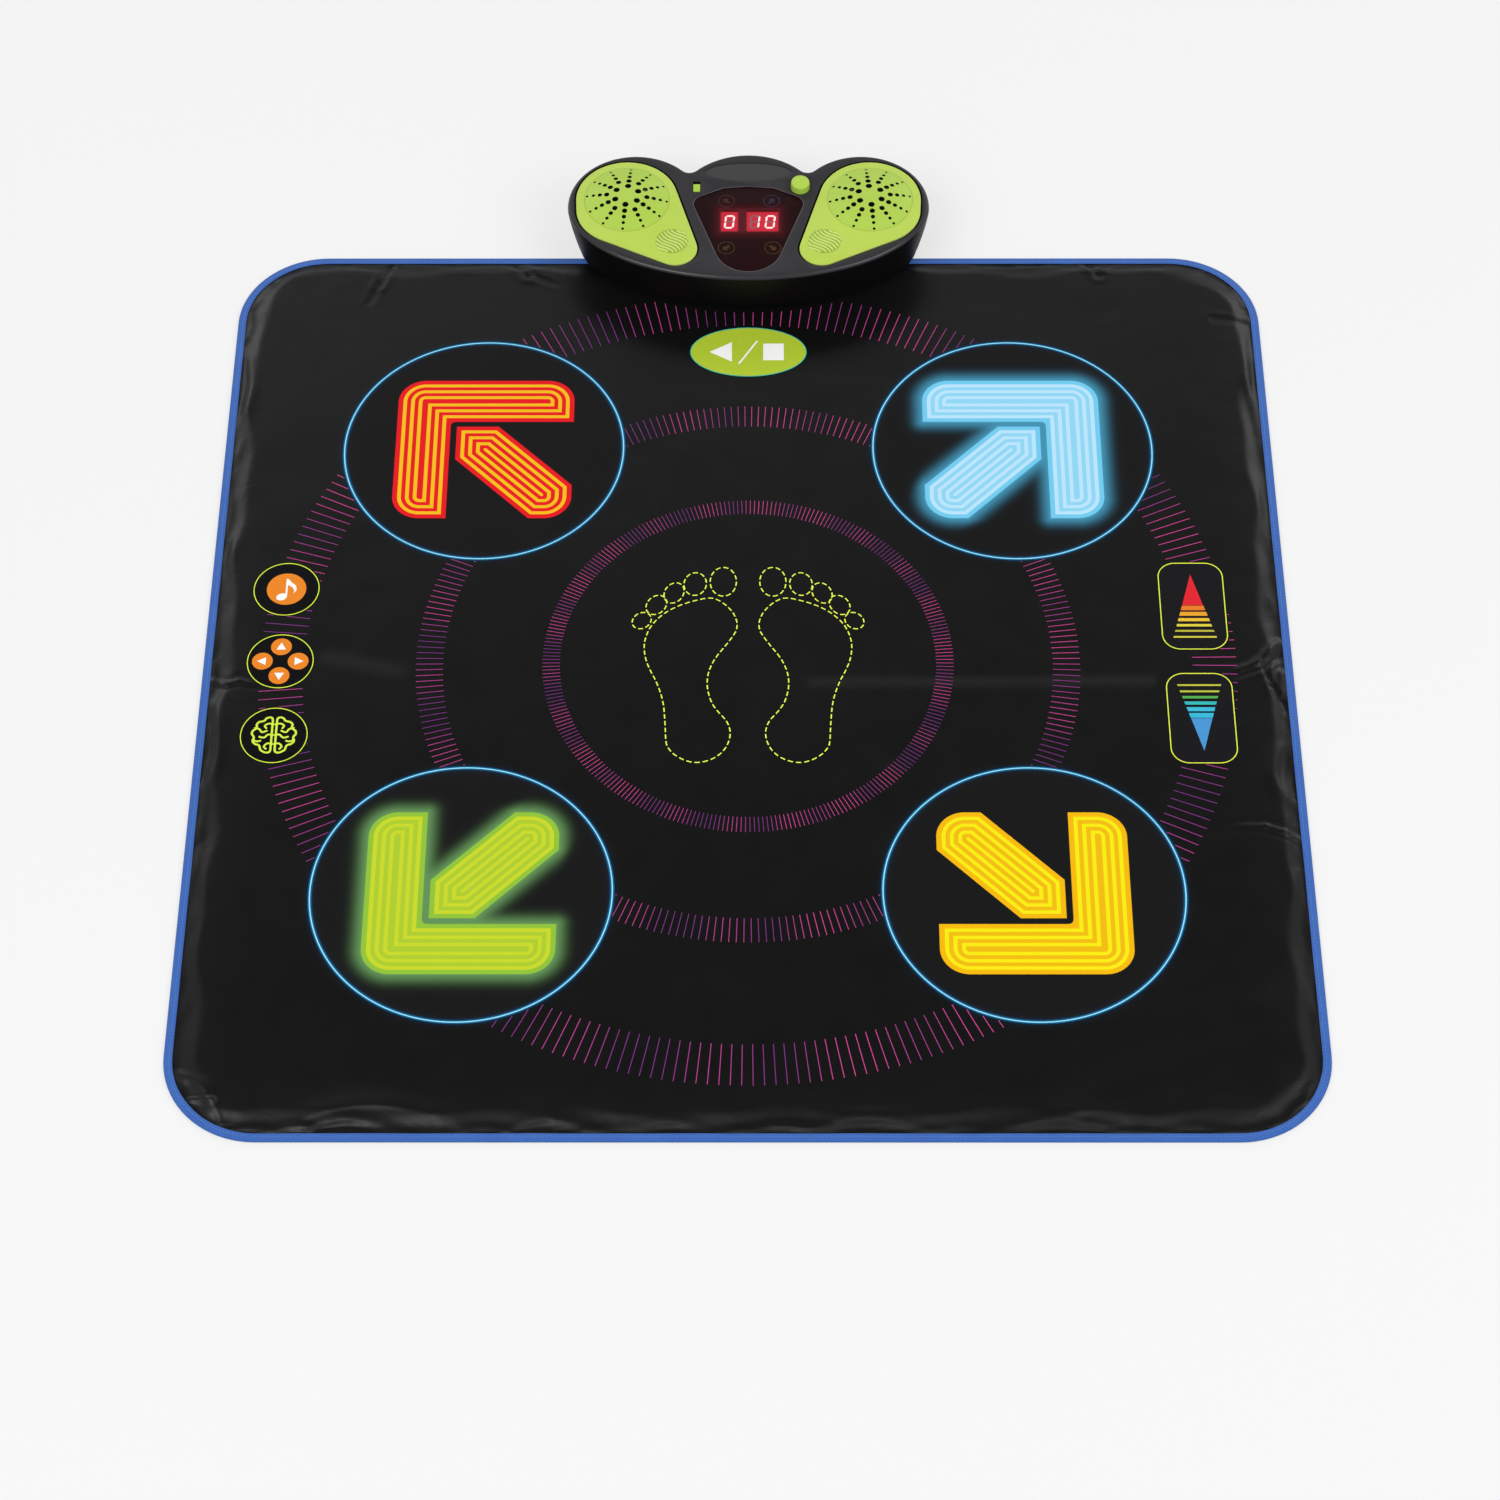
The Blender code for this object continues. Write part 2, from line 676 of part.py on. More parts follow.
def make_core():
    """Foam core with its pockets, contact film and spacer."""
    foam = plate("foam_core", core_outline(), FOAM_LOW, FOAM_TOP, FOAM_GREY)
    side = GUIDE_SIDE / 2 + GAP
    for place_name, x, y in ARROW_PLACES:
        pocket = rounded_rectangle(x, y, side, side, GUIDE_CORNER + GAP, 5)
        cut(foam, plate(f"guide_pocket_{place_name}", pocket, POCKET, FOAM_TOP + PAST, None))
    strip_x, strip_y = STRIP_HALF_X + GAP, STRIP_HALF_Y + GAP
    low = (-strip_x, STRIP_Y - strip_y, POCKET)
    high = (strip_x, STRIP_Y + strip_y, FOAM_TOP + PAST)
    cut(foam, block("strip_pocket", low, high, None))
    film = plate("contact_film", core_outline(), FILM_LOW, FILM_TOP, CLEAR_FILM)
    spacer = plate("spacer_sheet", core_outline(), SPACER_LOW, SPACER_TOP, FOAM_GREY)
    holes = [zone_outline(zone, ZONE_RELIEF) for zone in ZONES]
    cut(spacer, plates("spacer_holes", holes, SPACER_LOW - PAST / 10, SPACER_TOP + PAST, None))
    for x in (-MAT_SCREW_X, MAT_SCREW_X):
        side_name = "left" if x < 0 else "right"
        radius = MAT_SCREW_RADIUS + GAP
        hole = screw_hole(f"core_screw_hole_{side_name}", x, STRIP_Y, radius, FOAM_TOP, MAT_TOP)
        cut(film, hole)
        cut(spacer, hole)
    front = RIBBON_Y - RIBBON_TAIL - GAP
    cut(spacer, ribbon_slot("spacer_ribbon_slot", front, FILM_TOP + GAP / 2, MAT_TOP))


def make_binding():
    """Woven tape folded round the edge of both sheets, closed all the way round the mat."""
    low_inner, high_inner = TAPE, EDGE_TOP - TAPE
    middle = EDGE_TOP / 2
    section = [
        (TAPE_WIDTH, 0.0),
        (TAPE_ROUND, 0.0),
        (TAPE_ROUND * 0.3, EDGE_TOP * 0.15),
        (0.0, middle),
        (TAPE_ROUND * 0.3, EDGE_TOP * 0.85),
        (TAPE_ROUND, EDGE_TOP),
        (TAPE_WIDTH, EDGE_TOP),
        (TAPE_WIDTH, high_inner),
        (TAPE_ROUND, high_inner),
        (TAPE, middle),
        (TAPE_ROUND, low_inner),
        (TAPE_WIDTH, low_inner),
    ]
    loft("edge_binding", [mat_ring(inset, z) for inset, z in section], BLUE_TAPE, closed=True)


def make_zones():
    """The ten pressable zones, each free to sink into the spacer."""
    for zone in ZONES:
        plate(zone[0], zone_outline(zone), SHEET_LOW, MAT_TOP, VINYL, (zone[2], zone[3]))


def make_lights():
    """Edge-lit guide and its strip of lamps under each arrow."""
    side = GUIDE_SIDE / 2
    board_low = POCKET + GAP
    guide_low = board_low + LED_BOARD + GAP
    for place_name, x, y in ARROW_PLACES:
        outline = rounded_rectangle(x, y, side, side, GUIDE_CORNER, 5)
        guide = f"light_guide_{place_name}"
        plate(guide, outline, guide_low, guide_low + GUIDE, CLEAR_ACRYLIC, (x, y))
        half_x, half_y = LED_BOARD_LENGTH / 2, LED_BOARD_WIDTH / 2
        low = (x - half_x, y - half_y, board_low)
        high = (x + half_x, y + half_y, board_low + LED_BOARD)
        block(f"led_board_{place_name}", low, high, CIRCUIT_GREEN, (x, y, board_low))


def make_clamp():
    """Steel strip inside the mat and the two screws that hold the box on it."""
    strip_low = POCKET + GAP
    low = (-STRIP_HALF_X, STRIP_Y - STRIP_HALF_Y, strip_low)
    high = (STRIP_HALF_X, STRIP_Y + STRIP_HALF_Y, strip_low + STRIP)
    strip = block("clamp_strip", low, high, STEEL)
    head_low = FRONT_FLOOR + GAP
    for side_name, x in (("left", -MAT_SCREW_X), ("right", MAT_SCREW_X)):
        radius = MAT_SCREW_RADIUS + GAP
        cut(strip, screw_hole(f"strip_hole_{side_name}", x, STRIP_Y, radius, 0.0, FOAM_TOP))
        profile = [
            (0.0, head_low + MAT_SCREW_HEAD),
            (MAT_SCREW_HEAD_RADIUS * 0.7, head_low + MAT_SCREW_HEAD),
            (MAT_SCREW_HEAD_RADIUS, head_low + MAT_SCREW_HEAD * 0.5),
            (MAT_SCREW_HEAD_RADIUS, head_low),
            (MAT_SCREW_RADIUS, head_low),
            (MAT_SCREW_RADIUS, strip_low),
            (0.0, strip_low),
        ]
        turned(f"mat_screw_{side_name}", profile, (x, STRIP_Y, 0.0), STEEL, 10)


def make_ribbon():
    """Flat cable: it lies on the film, turns up through the sheets and ends under the board."""
    low = FILM_TOP + GAP + RIBBON / 2
    path = [(RIBBON_Y - RIBBON_TAIL, low)]
    bend_y, bend_z = RIBBON_Y - RIBBON_BEND, low + RIBBON_BEND
    path += arc(bend_y, bend_z, RIBBON_BEND, -math.pi / 2, 0.0, RIBBON_BEND_STEPS)
    path.append((RIBBON_Y, BOARD_LOW - GAP))
    shape = bmesh.new()
    line = [shape.verts.new((-RIBBON_HALF_X, y, z)) for y, z in path]
    edges = [shape.edges.new(pair) for pair in zip(line, line[1:])]
    grown = bmesh.ops.extrude_edge_only(shape, edges=edges)
    moved = [item for item in grown["geom"] if isinstance(item, bmesh.types.BMVert)]
    bmesh.ops.translate(shape, vec=(2 * RIBBON_HALF_X, 0.0, 0.0), verts=moved)
    ribbon = from_bmesh("ribbon_cable", shape, RIBBON_GREY)
    thickness = ribbon.modifiers.new("thickness", "SOLIDIFY")
    thickness.thickness = RIBBON
    thickness.offset = 0.0
    thickness.use_even_offset = True


def panel_circles(side, grow=0.0):
    """The circles that a grille panel's teardrop is drawn round: its head, hip and tail."""
    head = (side * SPEAKER_X, SPEAKER_Y, PANEL_RADIUS + grow)
    hip_x = side * (SPEAKER_X + PANEL_HIP_X)
    hip = (hip_x, SPEAKER_Y + PANEL_HIP_Y, PANEL_HIP_RADIUS + grow)
    tail_x = side * (SPEAKER_X + PANEL_TAIL_X)
    return [head, hip, (tail_x, SPEAKER_Y + PANEL_TAIL_Y, PANEL_TAIL_RADIUS + grow)]


def lens_circles(grow=0.0):
    """The circles that the lens's shield is drawn round."""
    circles = [
        (0.0, BOX_Y + LENS_CROWN_Y, LENS_CROWN + grow),
        (0.0, BOX_Y + LENS_CHIN_Y, LENS_CHIN + grow),
    ]
    for side in (-1, 1):
        circles.append((side * LENS_CORNER_X, BOX_Y + LENS_CORNER_Y, LENS_CORNER + grow))
        circles.append((side * LENS_SHOULDER_X, BOX_Y + LENS_SHOULDER_Y, LENS_SHOULDER + grow))
    return circles


def make_upper_housing():
    """Top shell of the control box with its recesses, holes, posts and screw bosses."""
    rim_low = BOX_TOP - RIM_RADIUS
    rings = [box_ring(PARTING + (rim_low - PARTING) * share) for share in (0.0, 0.4, 1.0)]
    for i in range(1, RIM_STEPS + 1):
        angle = math.pi / 2 * i / RIM_STEPS
        z = rim_low + RIM_RADIUS * math.sin(angle)
        rings.append(box_ring(z, RIM_RADIUS * (1.0 - math.cos(angle))))
    shell = loft("upper_housing", rings, CHARCOAL)
    hollow = [box_ring(z, BOX_WALL) for z in (PARTING - PAST, PARTING * 2, PLATE_UNDER)]
    cut(shell, loft("upper_hollow", hollow, None))
    posts = [(x, BOX_Y + y) for x in (-POST_X, POST_X) for y in (POST_FRONT_Y, POST_REAR_Y)]
    for i, (x, y) in enumerate(posts, 1):
        post = disc(f"board_post_{i}", x, y, POST_RADIUS, BOARD_TOP + GAP, PLATE_UNDER + PAST, None, 8)
        join(shell, post)
    boss_low = PARTING + GAP
    screws = lobe_points([(SCREW_CIRCLE, angle) for angle in SCREW_ANGLES])
    for i, (x, y) in enumerate(screws, 1):
        join(shell, disc(f"upper_boss_{i}", x, y, BOSS_RADIUS, boss_low, PLATE_UNDER + PAST, None, 12))
        pilot_top = FOOT_STAND + SCREW_REACH + 2 * GAP
        radius = SCREW_SHANK_RADIUS + GAP
        cut(shell, screw_hole(f"upper_pilot_{i}", x, y, radius, boss_low - PAST, pilot_top))
    above = BOX_TOP + PAST
    below = PLATE_UNDER - PAST
    for side_name, side in (("left", -1), ("right", 1)):
        recess = band_round(panel_circles(side, GAP))
        cut(shell, plate(f"panel_recess_{side_name}", recess, PANEL_LOW - GAP, above, None))
        x = side * SPEAKER_X
        cut(shell, disc(f"sound_hole_{side_name}", x, SPEAKER_Y, SOUND_HOLE, below, above, None))
    cut(shell, plate("lens_recess", band_round(lens_circles(GAP)), LENS_LOW - GAP, above, None))
    cut(shell, plate("lens_window", band_round(lens_circles(-LENS_LEDGE)), below, above, None))
    button_y = BOX_Y + BUTTON_Y
    dish = BUTTON_RADIUS + BUTTON_DISH
    cut(shell, disc("button_dish", BUTTON_X, button_y, dish, BOX_TOP - BUTTON_DISH_DEPTH, above, None))
    cut(shell, disc("button_hole", BUTTON_X, button_y, BUTTON_RADIUS + GAP, below, above, None))
    slot_x = KNOB_HALF_X + GAP
    slot_y = KNOB_HALF_Y + KNOB_TRAVEL / 2 + GAP
    low = (KNOB_X - slot_x, BOX_Y + KNOB_Y - slot_y, below)
    high = (KNOB_X + slot_x, BOX_Y + KNOB_Y + slot_y, above)
    cut(shell, block("knob_slot", low, high, None))
    plaque = oval(0.0, BOX_Y + PLAQUE_Y, PLAQUE_HALF_X, PLAQUE_HALF_Y, 40)
    cut(shell, plate("plaque_recess", plaque, BOX_TOP - PLAQUE_DEPTH, above, None))


def make_lower_housing():
    """Tray of the control box: it rests on the mat in front and steps down to the floor behind it."""
    top = PARTING - GAP
    tray = loft("lower_housing", [box_ring(z) for z in (FOOT_STAND, BOX_UNDER, top)], CHARCOAL)
    cut(tray, block("mat_step", (-FAR, BOX_Y - FAR, -PAST), (FAR, STEP_Y, BOX_UNDER), None))
    inner = [box_ring(z, BOX_WALL) for z in (REAR_FLOOR, FRONT_FLOOR, top + PAST)]
    hollow = loft("tray_hollow", inner, None)
    front_floor = (FAR, STEP_Y + BOX_WALL, FRONT_FLOOR)
    cut(hollow, block("front_floor", (-FAR, BOX_Y - FAR, -PAST), front_floor, None))
    roof = (BAY_BLOCK_X, BOX_Y + FAR, COVER_TOP + GAP + CHANNEL_ROOF)
    cut(hollow, block("channel_roof", (-BAY_BLOCK_X, BOX_Y - FAR, -PAST), roof, None))
    cut(tray, hollow)
    half = BAY_HALF_X + BAY_WALL
    bay_low = (-half, BAY_FRONT - BAY_WALL, COVER_TOP + PAST)
    bay_high = (half, BAY_REAR + BAY_WALL, BAY_TOP + BAY_WALL)
    join(tray, block("bay_walls", bay_low, bay_high, None))
    screws = lobe_points([(SCREW_CIRCLE, angle) for angle in SCREW_ANGLES])
    for i, (x, y) in enumerate(screws, 1):
        join(tray, disc(f"lower_boss_{i}", x, y, BOSS_RADIUS, FOOT_STAND + PAST, top - GAP, None, 12))
        radius = SCREW_SHANK_RADIUS + GAP
        cut(tray, screw_hole(f"lower_clearance_{i}", x, y, radius, -PAST, PARTING + PAST))
        head_top = FOOT_STAND + SCREW_HEAD + 2 * GAP
        radius = SCREW_HEAD_RADIUS + GAP
        cut(tray, disc(f"counterbore_{i}", x, y, radius, -PAST, head_top, None, 12))
    low = (-BAY_HALF_X, BAY_FRONT, -PAST)
    cut(tray, block("bay_pocket", low, (BAY_HALF_X, BAY_REAR, BAY_TOP), None))
    channel = COVER_HALF_X + GAP
    channel_top = COVER_TOP + GAP
    low = (-channel, BAY_FRONT, -PAST)
    cut(tray, block("cover_channel", low, (channel, BOX_Y + FAR, channel_top), None))
    groove = COVER_TONGUE_X + GAP
    low = (-groove, BAY_FRONT, COVER_TOP - COVER_TONGUE_THICK - GAP)
    cut(tray, block("cover_groove", low, (groove, BOX_Y + FAR, channel_top), None))
    for i, (x, y) in enumerate(lobe_points(FOOT_PLACES), 1):
        recess = FOOT_STAND + FOOT_RECESS
        cut(tray, disc(f"foot_recess_{i}", x, y, FOOT_RADIUS + GAP, -PAST, recess, None))
    for side_name, x in (("left", -MAT_SCREW_X), ("right", MAT_SCREW_X)):
        radius = MAT_SCREW_RADIUS + GAP
        hole = screw_hole(f"floor_hole_{side_name}", x, STRIP_Y, radius, MAT_TOP, FRONT_FLOOR + PAST)
        cut(tray, hole)
    front = RIBBON_Y - RIBBON_BEND
    cut(tray, ribbon_slot("floor_ribbon_slot", front, MAT_TOP, FRONT_FLOOR + PAST))


def make_fasteners_and_feet():
    """Screws that close the box and the rubber feet under it."""
    head_low = FOOT_STAND + GAP
    reach = FOOT_STAND + SCREW_REACH
    screws = lobe_points([(SCREW_CIRCLE, angle) for angle in SCREW_ANGLES])
    for i, (x, y) in enumerate(screws, 1):
        profile = [
            (0.0, reach),
            (SCREW_SHANK_RADIUS * 0.3, reach),
            (SCREW_SHANK_RADIUS, reach - SCREW_HEAD),
            (SCREW_SHANK_RADIUS, head_low + SCREW_HEAD),
            (SCREW_HEAD_RADIUS, head_low + SCREW_HEAD),
            (SCREW_HEAD_RADIUS, head_low + SCREW_HEAD * 0.4),
            (SCREW_HEAD_RADIUS * 0.8, head_low),
            (0.0, head_low),
        ]
        turned(f"housing_screw_{i}", profile, (x, y, 0.0), STEEL, 10)
    for i, (x, y) in enumerate(lobe_points(FOOT_PLACES), 1):
        disc(f"rubber_foot_{i}", x, y, FOOT_RADIUS, 0.0, FOOT_STAND + FOOT_RECESS - GAP, RUBBER)


def dome_height(radius, rise, base):
    """Height of a shallow spherical dome over its rim."""
    sphere = (base**2 + rise**2) / (2 * rise)
    return math.sqrt(sphere**2 - radius**2) - (sphere - rise)


def make_grille(side_name, side):
    """Lime teardrop panel with a hollow dome and its spokes of holes."""
    top = BOX_TOP + PANEL_PROUD
    panel = plate(
        f"speaker_grille_{side_name}", band_round(panel_circles(side)), PANEL_LOW, top, LIME,
        (side * SPEAKER_X, SPEAKER_Y),
    )
    x, y = side * SPEAKER_X, SPEAKER_Y
    inner_radius = DOME_RADIUS - DOME_WALL
    inner_rise = DOME_RISE - DOME_WALL
    outside = [DOME_RADIUS * i / DOME_RINGS for i in range(DOME_RINGS + 1)]
    profile = [(r, top + dome_height(r, DOME_RISE, DOME_RADIUS)) for r in outside]
    profile += [(DOME_RADIUS, PANEL_LOW + PANEL / 2), (0.0, PANEL_LOW + PANEL / 2)]
    join(panel, turned(f"dome_{side_name}", profile, (x, y, 0.0), None, DOME_STEPS))
    inside = [inner_radius * i / DOME_RINGS for i in range(DOME_RINGS + 1)]
    profile = [(r, top + dome_height(r, inner_rise, inner_radius)) for r in inside]
    profile += [(inner_radius, PANEL_LOW - PAST), (0.0, PANEL_LOW - PAST)]
    cut(panel, turned(f"dome_hollow_{side_name}", profile, (x, y, 0.0), None, DOME_STEPS))
    shape = bmesh.new()
    holes = [(INNER_RING, INNER_HOLE, 60 * i - 35) for i in range(6)]
    for i in range(SPOKES):
        angle = 360 / SPOKES * i - 5
        holes += [(reach, size, angle) for reach, size in zip(SPOKE_RADII, SPOKE_HOLES)]
    for reach, size, angle in holes:
        sides = 6 if size > SPOKE_HOLES[0] else 4
        turn = math.radians(angle if side < 0 else 180 - angle)
        centre = Vector((x + reach * math.cos(turn), y + reach * math.sin(turn), top))
        bmesh.ops.create_cone(
            shape, cap_ends=True, segments=sides, radius1=size, radius2=size,
            depth=4 * DOME_RISE, matrix=Matrix.Translation(centre),
        )
    cut(panel, from_bmesh(f"grille_holes_{side_name}", shape, None))


def make_speaker(side_name, side):
    """Round speaker: steel frame with its magnet, and the paper cone in it."""
    top = SPEAKER_TOP
    floor = top - BASKET_FLOOR
    frame = [
        (0.0, floor),
        (MAGNET_RADIUS - DOME_WALL, floor),
        (BASKET_RADIUS - SPEAKER_RIM, top - SPEAKER_RIM),
        (BASKET_RADIUS - SPEAKER_RIM / 2, top),
        (SPEAKER_RADIUS, top),
        (SPEAKER_RADIUS, top - SPEAKER_RIM),
        (BASKET_RADIUS, top - SPEAKER_RIM),
        (MAGNET_RADIUS, floor - SPEAKER_RIM),
        (MAGNET_RADIUS, top - SPEAKER_DEPTH),
        (0.0, top - SPEAKER_DEPTH),
    ]
    origin = (side * SPEAKER_X, SPEAKER_Y, 0.0)
    turned(f"speaker_frame_{side_name}", frame, origin, STEEL, 24)
    coil = MAGNET_RADIUS * 0.42
    paper = 0.0006
    cone_top = top - 0.0008
    cone = [
        (0.0, floor + 0.0037),
        (coil * 0.6, floor + 0.0033),
        (coil, floor + 0.0021),
        (CONE_RADIUS, cone_top),
        (CONE_RADIUS, cone_top - paper),
        (coil, floor + 0.0012),
        (coil, floor + GAP),
        (0.0, floor + GAP),
    ]
    turned(f"speaker_cone_{side_name}", cone, origin, DARK_PAPER, 24)


def make_display():
    """Smoked lens, two number displays and the main board."""
    centre = (0.0, BOX_Y)
    plate("display_lens", band_round(lens_circles()), LENS_LOW, BOX_TOP, SMOKED_RED, centre)
    low_y, high_y = BOX_Y + DISPLAY_Y - DISPLAY_HALF_Y, BOX_Y + DISPLAY_Y + DISPLAY_HALF_Y
    modules = (
        ("score_display", SCORE_X, SCORE_HALF_X),
        ("level_display", LEVEL_DISPLAY_X, LEVEL_DISPLAY_HALF_X),
    )
    for name, x, half_x in modules:
        low = (x - half_x, low_y, DISPLAY_TOP - DISPLAY)
        block(name, low, (x + half_x, high_y, DISPLAY_TOP), DISPLAY_RED)
    board_y = BOX_Y + BOARD_Y
    outline = rounded_rectangle(0.0, board_y, BOARD_HALF_X, BOARD_HALF_Y, BOARD_CORNER, 3)
    plate("main_board", outline, BOARD_LOW, BOARD_TOP, CIRCUIT_GREEN, (0.0, board_y))


def make_button():
    """Round start button with its retaining flange, over a small switch on the board."""
    x, y = BUTTON_X, BOX_Y + BUTTON_Y
    cap_top = BOX_TOP + BUTTON_RISE
    flange_top = PLATE_UNDER - GAP
    profile = [
        (0.0, cap_top),
        (BUTTON_RADIUS * 0.75, cap_top),
        (BUTTON_RADIUS * 0.93, cap_top - BUTTON_RADIUS * 0.07),
        (BUTTON_RADIUS, cap_top - BUTTON_RADIUS * 0.25),
        (BUTTON_RADIUS, flange_top),
        (BUTTON_RADIUS + BUTTON_FLANGE, flange_top),
        (BUTTON_RADIUS + BUTTON_FLANGE, BUTTON_LOW),
        (0.0, BUTTON_LOW),
    ]
    turned("start_button", [(r, z - BOX_TOP) for r, z in profile], (x, y, BOX_TOP), LIME, 24)
    low = (x - TACT_HALF, y - TACT_HALF, TACT_LOW)
    high = (x + TACT_HALF, y + TACT_HALF, TACT_LOW + TACT_BODY)
    body = block("tact_switch", low, high, SWITCH_BLACK)
    plunger_low = TACT_LOW + TACT_BODY - GAP
    join(body, disc("tact_plunger", x, y, TACT_PLUNGER_RADIUS, plunger_low, TACT_TOP, None, 12))


def make_power_switch():
    """Slide knob at the front end of its slot, over the switch body."""
    x, slot_y = KNOB_X, BOX_Y + KNOB_Y
    y = slot_y - KNOB_TRAVEL / 2
    low = (x - KNOB_HALF_X, y - KNOB_HALF_Y, KNOB_FLANGE_LOW + GAP)
    high = (x + KNOB_HALF_X, y + KNOB_HALF_Y, BOX_TOP + KNOB_RISE)
    knob = block("power_switch_knob", low, high, LIME, (x, y, BOX_TOP))
    side = KNOB_HALF_X + KNOB_FLANGE
    end = KNOB_HALF_Y + KNOB_FLANGE
    low = (x - side, y - end, KNOB_FLANGE_LOW)
    join(knob, block("knob_flange", low, (x + side, y + end, KNOB_FLANGE_TOP), None))
    low = (x - SWITCH_HALF_X, slot_y - SWITCH_HALF_Y, BOARD_TOP + GAP)
    high = (x + SWITCH_HALF_X, slot_y + SWITCH_HALF_Y, KNOB_FLANGE_LOW - GAP)
    block("power_switch_body", low, high, SWITCH_BLACK)


def make_batteries():
    """Four cells, the contact plates at their ends and the sliding cover under them."""
    body = CELL_LENGTH - CELL_NUB
    profile = [
        (0.0, CELL_LENGTH),
        (CELL_NUB_RADIUS, CELL_LENGTH),
        (CELL_NUB_RADIUS, body),
        (CELL_RADIUS, body),
        (CELL_RADIUS, 0.0),
        (0.0, 0.0),
    ]
    number = 1
    for row, y in enumerate(CELL_ROWS):
        way = 1 if row == 0 else -1
        for start in (-CELL_END + GAP, GAP / 2):
            x = start if way > 0 else -start
            cell = turned(f"battery_{number}", profile, (x, y, CELL_Z), CELL_JACKET, 16)
            cell.rotation_euler.y = way * math.pi / 2
            number += 1
    for side_name, side in (("left", -1), ("right", 1)):
        outer = side * (BAY_HALF_X - GAP)
        inner = outer - side * CONTACT
        low = (min(outer, inner), BAY_FRONT + GAP, CELL_Z - CELL_RADIUS)
        high = (max(outer, inner), BAY_REAR - GAP, CELL_Z + CELL_RADIUS)
        contact = block(f"battery_contact_{side_name}", low, high, STEEL)
        for row, y in enumerate(CELL_ROWS):
            shape = bmesh.new()
            tilt = Matrix.Rotation(-side * math.pi / 2, 4, "Y")
            reach = CONTACT_SPRING - GAP
            middle = Vector((inner - side * (reach - CONTACT / 2) / 2, y, CELL_Z))
            bmesh.ops.create_cone(
                shape, cap_ends=True, segments=12, radius1=CONTACT_SPRING_RADIUS,
                radius2=CONTACT_TIP_RADIUS, depth=reach + CONTACT / 2,
                matrix=Matrix.Translation(middle) @ tilt,
            )
            join(contact, from_bmesh(f"contact_spring_{side_name}_{row}", shape, None))
    front, rear = BAY_FRONT + GAP, BAY_REAR + COVER_TAIL
    origin = (0.0, (front + rear) / 2, COVER_LOW)
    low, high = (-COVER_HALF_X, front, COVER_LOW), (COVER_HALF_X, rear, COVER_TOP)
    cover = block("battery_cover", low, high, CHARCOAL, origin)
    low = (-COVER_TONGUE_X, front, COVER_TOP - COVER_TONGUE_THICK)
    join(cover, block("cover_tongues", low, (COVER_TONGUE_X, rear, COVER_TOP), None))


def main():
    make_sheets()
    make_core()
    make_binding()
    make_zones()
    make_lights()
    make_clamp()
    make_ribbon()
    make_upper_housing()
    make_lower_housing()
    make_fasteners_and_feet()
    for side_name, side in (("left", -1), ("right", 1)):
        make_grille(side_name, side)
        make_speaker(side_name, side)
    make_display()
    make_button()
    make_power_switch()
    make_batteries()


main()
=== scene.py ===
"""Looks of the light-up dance mat: printed skin, woven edge, glowing arrows and the control box.

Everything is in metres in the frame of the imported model: the origin is on the floor under the middle
of the mat, +X to the player's right, +Y to the control box, +Z up.
"""

import json
import math
import random
from itertools import groupby

import bmesh
import bpy
import numpy as np
from mathutils import Matrix, Vector
from mathutils.bvhtree import BVHTree
from mathutils.geometry import convex_hull_2d

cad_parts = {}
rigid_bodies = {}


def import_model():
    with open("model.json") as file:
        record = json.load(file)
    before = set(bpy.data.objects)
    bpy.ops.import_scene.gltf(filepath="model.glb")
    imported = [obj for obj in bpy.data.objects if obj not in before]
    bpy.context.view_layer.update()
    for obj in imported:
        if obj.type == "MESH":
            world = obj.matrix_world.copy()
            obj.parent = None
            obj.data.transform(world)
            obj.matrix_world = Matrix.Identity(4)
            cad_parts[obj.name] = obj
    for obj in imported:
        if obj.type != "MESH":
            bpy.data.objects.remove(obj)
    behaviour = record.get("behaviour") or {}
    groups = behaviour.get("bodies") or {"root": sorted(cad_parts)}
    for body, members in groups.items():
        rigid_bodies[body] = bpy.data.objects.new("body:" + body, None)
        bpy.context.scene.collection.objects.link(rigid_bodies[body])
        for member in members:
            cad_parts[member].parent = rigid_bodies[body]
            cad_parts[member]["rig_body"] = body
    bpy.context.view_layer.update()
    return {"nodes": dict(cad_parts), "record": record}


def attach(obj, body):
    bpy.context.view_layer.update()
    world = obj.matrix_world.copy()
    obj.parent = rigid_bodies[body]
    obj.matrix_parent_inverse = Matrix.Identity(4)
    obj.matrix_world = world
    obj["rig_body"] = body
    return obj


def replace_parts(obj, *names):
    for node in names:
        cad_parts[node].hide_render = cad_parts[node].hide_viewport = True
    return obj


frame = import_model()

# Mat
MAT_HALF = 0.45085
MAT_CORNER = 0.0760
MAT_TOP = 0.0062
SKIN = 0.0005
SKIN_INSET = 0.0014
FLANGE_LEVEL = 0.0022
RAMP_START = 0.0085
GRID = 0.0056
ZONE_CUT = 0.0004
EDGE_BAND = 0.050
SLACK_BAND = 0.060
INK = 0.00005
INK_LIFT = 0.00010
INK_GRID = 0.007

# Pressable zones
ARROW = 0.22735
ARROW_RADIUS = 0.1220
PLAY = (0.0, 0.33685, 0.0515, 0.0287)
MODE_X = -0.38685
MODE_PITCH = 0.0750
MODE_RADIUS = 0.0280
LEVEL_X = 0.37135
LEVEL_PITCH = 0.1150
LEVEL_HALF = (0.0277, 0.0457)
LEVEL_CORNER = 0.0155

# Arrow print, in millimetres from the middle of its zone
ARROW_HALF = 76.4
ARROW_CORNER = 23.5
ARROW_HEAD = 29.9
ARROW_BAR = 24.5
BAR_REACH = 36.2
NEON_RADIUS = 120.0
DIAGONAL = 0.7071

